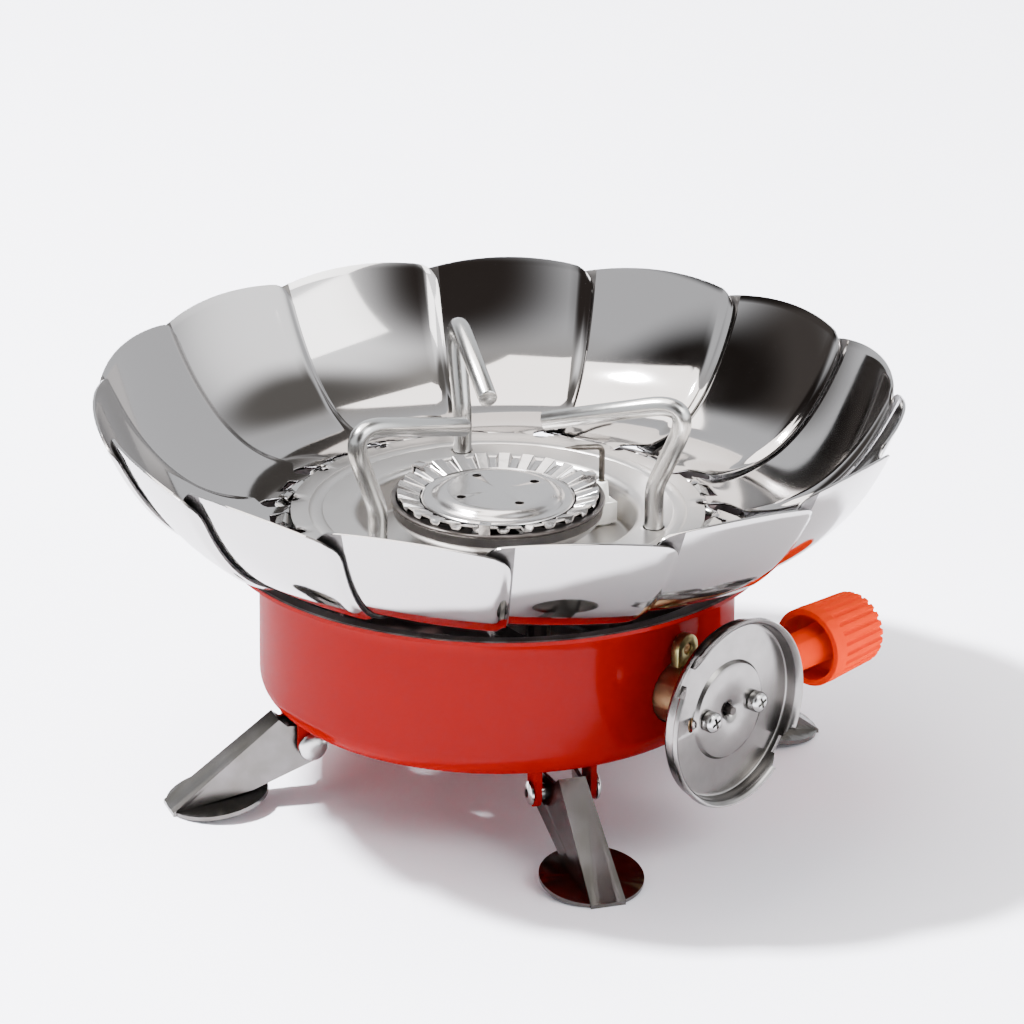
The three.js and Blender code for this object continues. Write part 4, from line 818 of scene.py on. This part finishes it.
for i in range(4):
    azimuth = FIRST_LEG + 90 * i
    to_pivot = [ALONG_Y, shift(LEG_PIVOT[0], 0, LEG_PIVOT[1]), facing(azimuth)]
    leg = bpy.data.objects.new(f"channel_leg_{i + 1}", leg_pattern.data.copy())
    leg.data.transform(facing(azimuth))
    bpy.context.collection.objects.link(leg)
    dress(leg, tumbled, f"leg_{i + 1}", [f"leg_{i + 1}"], edge=0.25, smooth=35)
    base = plate(rectangle(CLEVIS_INNER, CLEVIS_OUTER, CLEVIS_HALF), CLEVIS_BASE)
    base = moved(base, shift(z=PAN_UNDERSIDE - CLEVIS_BASE), facing(azimuth))
    clevis = as_object(f"clevis_{i + 1}", base)
    for y in EAR_STARTS:
        ear = moved(plate(ear_outline, EAR_SHEET), upright, shift(y=y), facing(azimuth))
        combine(clevis, [ear], "UNION")
    combine(clevis, [moved(bar(PIN_HOLE, -12, 12), *to_pivot)])
    dress(clevis, enamel, "stove_body", [f"leg_bracket_{i + 1}"], edge=0.15)
    pin = as_object(f"pivot_pin_{i + 1}", moved(turned(pin_outline, 40), *to_pivot))
    dress(pin, zinc, "stove_body", [f"leg_pin_{i + 1}"], smooth=45)
bpy.data.objects.remove(leg_pattern)

# ---- Knob: injection-moulded orange ABS, hollow towards the stove, with a fluted grip
# It is pushed onto the end of the brass spindle, in a neck that stands in the hollow.
KNOB_AXIS = (52.3, 31)
FLUTES, FLUTE_STEPS, FLUTE_DEPTH = 24, 12, 0.7
HOLLOW_START, HOLLOW_END = 33, 40.7
NECK_START, NECK_END = 23.2, 46.2
SPINDLE_BORE, SPINDLE_BORE_END = 1.8, 48.1

# Moulded orange ABS: light sinks in and comes back a glowing orange, under a soft low gloss.
# The tool's spark-eroded texture is about 0.6 mm and just dulls the edges of the highlights.
orange, _, shader, _ = grained_finish(
    "moulded_orange_plastic", "#e23200", 0, 0.45, size=0.6, detail=3, strength=0.25, depth=0.04
)
shader.inputs["Specular IOR Level"].default_value = 0
shader.inputs["Coat Weight"].default_value = 0.03
shader.inputs["Coat Roughness"].default_value = 0.3
shader.inputs["Subsurface Weight"].default_value = 0.5
shader.inputs["Subsurface Radius"].default_value = (5 * MM, 1.4 * MM, 0.3 * MM)

# Each station of the grip: how far along the axis, the radius, and 1 where the flutes are cut.
stations = [
    (35.2, 8.0, 0),
    (35.35, 8.1, 0),
    (38.2, 8.1, 0),
    (38.35, 8.05, 1),
    (49.9, 7.55, 1),
    (50.5, 7.3, 1),
    (50.7, 6.9, 1),
]
grip = bmesh.new()
rings = []
for height, radius, fluted in stations:
    ring = []
    for i in range(FLUTES * FLUTE_STEPS):
        angle = 2 * math.pi * i / (FLUTES * FLUTE_STEPS)
        groove = max(0, math.cos(angle * FLUTES)) ** 0.6
        reach = radius - FLUTE_DEPTH * groove * fluted
        ring.append(grip.verts.new((reach * math.cos(angle), reach * math.sin(angle), height)))
    rings.append(ring)
for ring, following in zip(rings, rings[1:]):
    for i in range(len(ring)):
        j = (i + 1) % len(ring)
        grip.faces.new((ring[i], ring[j], following[j], following[i]))
grip.faces.new(rings[0][::-1])
grip.faces.new(rings[-1])
bmesh.ops.recalc_face_normals(grip, faces=grip.faces)
to_spindle = [ALONG_Y, shift(KNOB_AXIS[0], 0, KNOB_AXIS[1]), facing(VALVE_AZIMUTH)]
knob = as_object("fluted_knob", moved(grip, *to_spindle))
hollow = [(0, HOLLOW_START), (6.9, HOLLOW_START), (6.8, 40.2), (6.3, HOLLOW_END), (0, HOLLOW_END)]
combine(knob, [moved(turned(hollow, 96), *to_spindle)])
neck = [(0, NECK_START), (3.3, NECK_START), (3.6, 23.5), (4.1, 43.5)]
neck += [(5.0, NECK_END), (0, NECK_END)]
combine(knob, [moved(turned(neck, 64), *to_spindle)], "UNION")
combine(knob, [moved(bar(SPINDLE_BORE, 20, SPINDLE_BORE_END, 32), *to_spindle)])
dress(knob, orange, "knob", ["knob"], edge=0.12, smooth=32)

# ---- Canister flange: a pressed stainless dish that takes the gas canister, on the valve's end
# It has a raised middle, a small funnel for the gas, a turned-out lip and two spread notches.
# Two pan-head screws hold it to the valve's end plate.
DISH_SHEET = 0.8
DISH_FLOOR, DISH_MIDDLE = 60.5, 61.4
SCREW_OFFSET, SCREW_HOLE = 6.9, 1.6
OVAL_OFFSET, OVAL_HALF, OVAL_STRETCH = -10.9, 1, 1.6
GAP_START, GAP_END, GAP_HALF, GAP_FLOOR, GAP_ANGLES = 17.8, 21, 4.5, 62.4, (50, 230)
CROSS_LENGTH, CROSS_WIDTH, CROSS_FLOOR, CROSS_ANGLES = 1.25, 0.3, 63.5, (20, 110)

# Spun stainless: the tool's fine rings dull the sheet to a soft mid grey.
spun = mottled_finish("spun_stainless", "#827f7c", "#787572", 1, 0.22, 3, 0.05)
dish_line = [(1.9, 60.4), (2.1, 60.8), (2.7, 61.2), (3.6, DISH_MIDDLE), (8.7, DISH_MIDDLE)]
dish_line += [(9.2, 61.3), (9.8, DISH_FLOOR), (17.1, DISH_FLOOR)]
dish_line += curved((17.3, DISH_FLOOR), (18.6, DISH_FLOOR), (18.7, 61.7), 6)
dish_line += [(18.7, 62.8)] + curved((18.7, 63.2), (18.8, 63.8), (19.4, 63.9), 4)
to_flange = [ALONG_X, shift(z=VALVE_HEIGHT), facing(VALVE_AZIMUTH)]
dish = as_object("dish", moved(turned(sheet_outline(dish_line, DISH_SHEET)), *to_flange))
screw_places = (-SCREW_OFFSET, SCREW_OFFSET)
dish_cuts = [moved(bar(SCREW_HOLE, 57, 66, 32), shift(y=y), *to_flange) for y in screw_places]
stretch = Matrix.Diagonal((OVAL_STRETCH, 1, 1, 1))
dish_cuts.append(moved(bar(OVAL_HALF, 57, 66, 32), stretch, shift(y=OVAL_OFFSET), *to_flange))
for angle in GAP_ANGLES:
    gap = moved(plate(rectangle(GAP_START, GAP_END, GAP_HALF), 4), shift(z=GAP_FLOOR))
    dish_cuts.append(moved(gap, around(angle), *to_flange))
combine(dish, dish_cuts)
dress(dish, spun, "stove_body", ["canister_flange"], edge=0.15)

screw_outline = [(0, 58.4), (1.3, 58.4), (1.3, 62.4), (2.1, 62.4)]
screw_outline += [(2.15, 63.5), (1.9, 64.1), (1.3, 64.45), (0, 64.5)]
cross_slot = rectangle(-CROSS_LENGTH, CROSS_LENGTH, CROSS_WIDTH)
for i, y in enumerate(screw_places):
    to_screw = [shift(y=y), *to_flange]
    screw = as_object(f"pan_head_screw_{i + 1}", moved(turned(screw_outline, 40), *to_screw))
    for angle in CROSS_ANGLES:
        wing = moved(plate(cross_slot, 3), shift(z=CROSS_FLOOR), around(angle), *to_screw)
        combine(screw, [wing])
    dress(screw, zinc, "stove_body", [f"flange_screw_{i + 1}"], edge=0.06)

# ---- Valve: a brass body, cast and turned, with a side boss, packing nut and needle spindle
# Its stub passes through the pan's wall and ends in a stadium-shaped plate for the flange.
STUB_START, STUB_END, STUB_RADIUS = 41, 60.2, 6.4
BOSS_RADIUS, BOSS_END = 4, 13.3
END_PLATE_SHEET, END_PLATE_HALF, END_PLATE_START = 2.2, 3.4, 58
GAS_BORE, INLET_BORE, INLET_START = 1.2, 3.1, 58.2
NUT_RADIUS, NUT_START, NUT_END = 4.4, 13.6, 18.6
SPINDLE_RADIUS, SPINDLE_END = 1.5, 47.8

# Dull turned brass: handled and brownish, with a lightly pitted cast skin about 1 mm across.
brass = grained_finish(
    "dull_turned_brass", "#a98a66", 1, 0.36, size=1, detail=5, strength=0.7, depth=0.08
)[0]
stub = [(0, STUB_START), (6.1, STUB_START), (STUB_RADIUS, 41.3)]
stub += [(STUB_RADIUS, STUB_END), (0, STUB_END)]
valve = as_object("valve_casting", moved(turned(stub, 64), *to_flange))
boss = moved(bar(BOSS_RADIUS, 0, BOSS_END, 48), *to_spindle)
stadium = arc(0, SCREW_OFFSET, END_PLATE_HALF, 0, 180, 20)
stadium += arc(0, -SCREW_OFFSET, END_PLATE_HALF, 180, 360, 20)
end_plate = moved(plate(stadium, END_PLATE_SHEET), shift(z=END_PLATE_START), *to_flange)
combine(valve, [boss, end_plate], "UNION")
gas_bore = moved(bar(GAS_BORE, 40, 64, 24), *to_flange)
inlet = moved(bar(INLET_BORE, INLET_START, 61, 32), *to_flange)
combine(valve, [gas_bore, inlet])
dress(valve, brass, "stove_body", ["valve_body"], edge=0.2)
nut = as_object("gland_nut", moved(bar(NUT_RADIUS, NUT_START, NUT_END, 6), *to_spindle))
combine(nut, [moved(bar(SPINDLE_BORE, 10, 20, 32), *to_spindle)])
dress(nut, brass, "stove_body", ["packing_nut"], edge=0.25)
spindle = [(0, 1.2), (SPINDLE_RADIUS, 4.2), (SPINDLE_RADIUS, SPINDLE_END), (0, SPINDLE_END)]
needle = as_object("needle_spindle", moved(turned(spindle, 32), *to_spindle))
dress(needle, brass, "knob", ["valve_spindle"])

# ---- Valve bracket: a short strip of pressed steel in yellow zinc, round at its top
# It ties the valve to the pan's wall by one hollow rivet, set flush from inside.
BRACKET_HALF, BRACKET_FOOT, BRACKET_SHEET, BRACKET_PLACE = 3, 38, 2, 48.9

# Yellow zinc plate: passivated after plating, so straw and olive tints cloud into each other
# about 2.5 mm apart.
olive, tree, shader = new_finish("yellow_zinc_plate", "#8f8757", 1, 0.34)
place = add_node(tree, "ShaderNodeTexCoord").outputs["Object"]
tint = add_node(tree, "ShaderNodeTexNoise", {"Vector": place}, Scale=1 / (2.5 * MM), Detail=3)
tints = add_node(tree, "ShaderNodeValToRGB", {"Fac": tint.outputs["Fac"]})
tints.color_ramp.elements[0].color = linear("#6f6a48")
tints.color_ramp.elements[0].position = 0.3
tints.color_ramp.elements[1].color = linear("#a89d6a")
tints.color_ramp.elements[1].position = 0.75
tree.links.new(tints.outputs["Color"], shader.inputs["Base Color"])
strip_outline = [(BRACKET_HALF, BRACKET_FOOT)]
strip_outline += arc(0, RIVET_HEIGHT, BRACKET_HALF, 0, 180, 24) + [(-BRACKET_HALF, BRACKET_FOOT)]
tie = moved(plate(strip_outline, BRACKET_SHEET), upright, around(90), shift(BRACKET_PLACE))
bracket = as_object("tie_strip", moved(tie, facing(VALVE_AZIMUTH)))
to_rivet = [ALONG_X, shift(z=RIVET_HEIGHT), facing(VALVE_AZIMUTH)]
combine(bracket, [moved(bar(RIVET_HOLE, 48, 56, 32), *to_rivet)])
dress(bracket, olive, "stove_body", ["valve_bracket"], edge=0.2)
rivet_line = [(0, 46.2), (1.7, 46.2), (1.7, 46.9), (0.9, 46.9), (0.9, 50.1)]
rivet_line += [(1.15, 50.1), (1.1, 50.4), (0.5, 50.5), (0.4, 50.2), (0, 50.2)]
rivet = as_object("flush_rivet", moved(turned(rivet_line, 32), *to_rivet))
dress(rivet, brass, "stove_body", ["bracket_rivet"], edge=0.05)

# ---- Igniter: a white ceramic block on the well's floor with a bent steel electrode
# The spark jumps from the electrode's pointed end to the burner cap.
BLOCK_INNER, BLOCK_OUTER, BLOCK_HALF = 21.5, 26.1, 2.3
BLOCK_START, BLOCK_RISE = 50.2, 4.4
POST_PLACE = 23.7
WIRE_HOLE, SPARK_WIRE, SPARK_TIP = 0.8, 0.6, 0.08
POINT_START = Vector((2.97, 0, -0.41))  # from the tip back to where the point begins

# White glazed ceramic: fired and glossy, a little translucent, its gloss broken by a 2 mm
# mottle in the glaze.
glaze, _, shader, _ = grained_finish(
    "white_glazed_ceramic", "#ebe9e2", 0, 0.3, size=2, detail=4, strength=0.3, depth=0.05
)
shader.inputs["Subsurface Weight"].default_value = 0.2
shader.inputs["Subsurface Radius"].default_value = (1 * MM, 1 * MM, 0.8 * MM)
spark = facing(SPARK_AZIMUTH)
cube = plate(rectangle(BLOCK_INNER, BLOCK_OUTER, BLOCK_HALF), BLOCK_RISE)
block = as_object("ceramic_block", moved(cube, shift(z=BLOCK_START), spark))
post = turned([(0, 54), (1.6, 54), (1.3, 58.5), (1.1, 58.8), (0, 58.8)], 32)
foot = moved(bar(2, 44.5, 51, 32), shift(SPARK_PLACE), spark)
combine(block, [moved(post, shift(POST_PLACE), spark), foot], "UNION")
combine(block, [moved(bar(WIRE_HOLE, 44, 60, 24), shift(POST_PLACE), spark)])
dress(block, glaze, "stove_body", ["igniter_ceramic"], edge=0.3)
# Heat-darkened wire: sparks and flame have turned the steel a mottled grey-brown.
dark_wire = mottled_finish("heat_darkened_wire", "#6d6862", "#544f4a", 1, 0.36, 1.5, 0.02)
wire_path = bent_path([(POST_PLACE, 0, 51), (POST_PLACE, 0, 66.2), (15.1, 0, 67.4)], [1.5])
tip = wire_path[-1]
wire_path = wire_path[:-1] + [tip + POINT_START, tip]
radii = [SPARK_WIRE] * (len(wire_path) - 1) + [SPARK_TIP]
electrode = as_object("electrode_wire", moved(rod(wire_path, radii, 20), spark))
dress(electrode, dark_wire, "stove_body", ["igniter_electrode"], smooth=50)

# ---- Hinge ring: one bent steel wire, zinc plated, threaded through all the knuckles
# It runs straight through each petal's knuckles and bends in between, inside the closed eyes
# of a flat carrier ring. Its two ends meet in one of the bends.
HINGE_WIRE, HINGE_WIRE_CHAMFER = 0.75, 0.1
STRAIGHT_HALF = 7.5
WIRE_BEND = 0.8
END_OVERLAP = 0.2

skew = Vector((math.sin(HINGE_SKEW), math.cos(HINGE_SKEW), 0))
ring_path = []
for i in range(PETALS):
    for way in (-1, 1):
        along = Vector((HINGE_RADIUS, 0, HINGE_HEIGHT)) + skew * way * STRAIGHT_HALF
        ring_path.append(around(FIRST_PETAL + PETAL_STEP * i).to_3x3() @ along)
seam = (ring_path[0] + ring_path[-1]) / 2
across = (ring_path[0] - ring_path[-1]).normalized()
ring_path = [seam + across * END_OVERLAP] + ring_path + [seam - across * END_OVERLAP]
centre_line = bent_path(ring_path, [WIRE_BEND] * (len(ring_path) - 2), 6)
wire = as_object("hinge_wire", rod(centre_line, HINGE_WIRE, 20, HINGE_WIRE_CHAMFER))
dress(wire, zinc, "stove_body", ["hinge_ring"], smooth=50)

# ---- Carrier, tube, jet, pillars and the igniter's body, seals and lead: as the CAD drew them
# They are small or hidden, turned or bought in, and held by the pieces round them. Their solids
# have the right shape, so each only gets its finish.


def finish_node(node, material):
    """Gives a CAD piece its finish."""
    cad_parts[node].data.materials.clear()
    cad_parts[node].data.materials.append(material)


for node in ("ring_carrier", "mixing_tube", "hub_pillar_1", "hub_pillar_2", "hub_pillar_3"):
    finish_node(node, zinc)
finish_node("jet_nozzle", brass)
# The inlet pin gets the painted shade steel, so it shows as the dark hole it sits in.
finish_node("inlet_pin", steel_painted_shade)
finish_node("igniter_nut", tumbled)
# Moulded black plastic and rubber: near black with a soft satin gloss and a 0.8 mm grain.
black = mottled_finish("moulded_black_plastic", "#29292c", "#1d1d20", 0, 0.45, 0.8, 0.03)
for node in ("piezo_igniter", "inlet_seal", "igniter_lead"):
    finish_node(node, black)
# Moulded red plastic: the button's even bright red under a low sheen.
red_plastic = mottled_finish("moulded_red_plastic", "#c4170c", "#b5140a", 0, 0.38, 0.8, 0.03)
red_plastic.node_tree.nodes["Principled BSDF"].inputs["Specular IOR Level"].default_value = 0.15
finish_node("igniter_button", red_plastic)
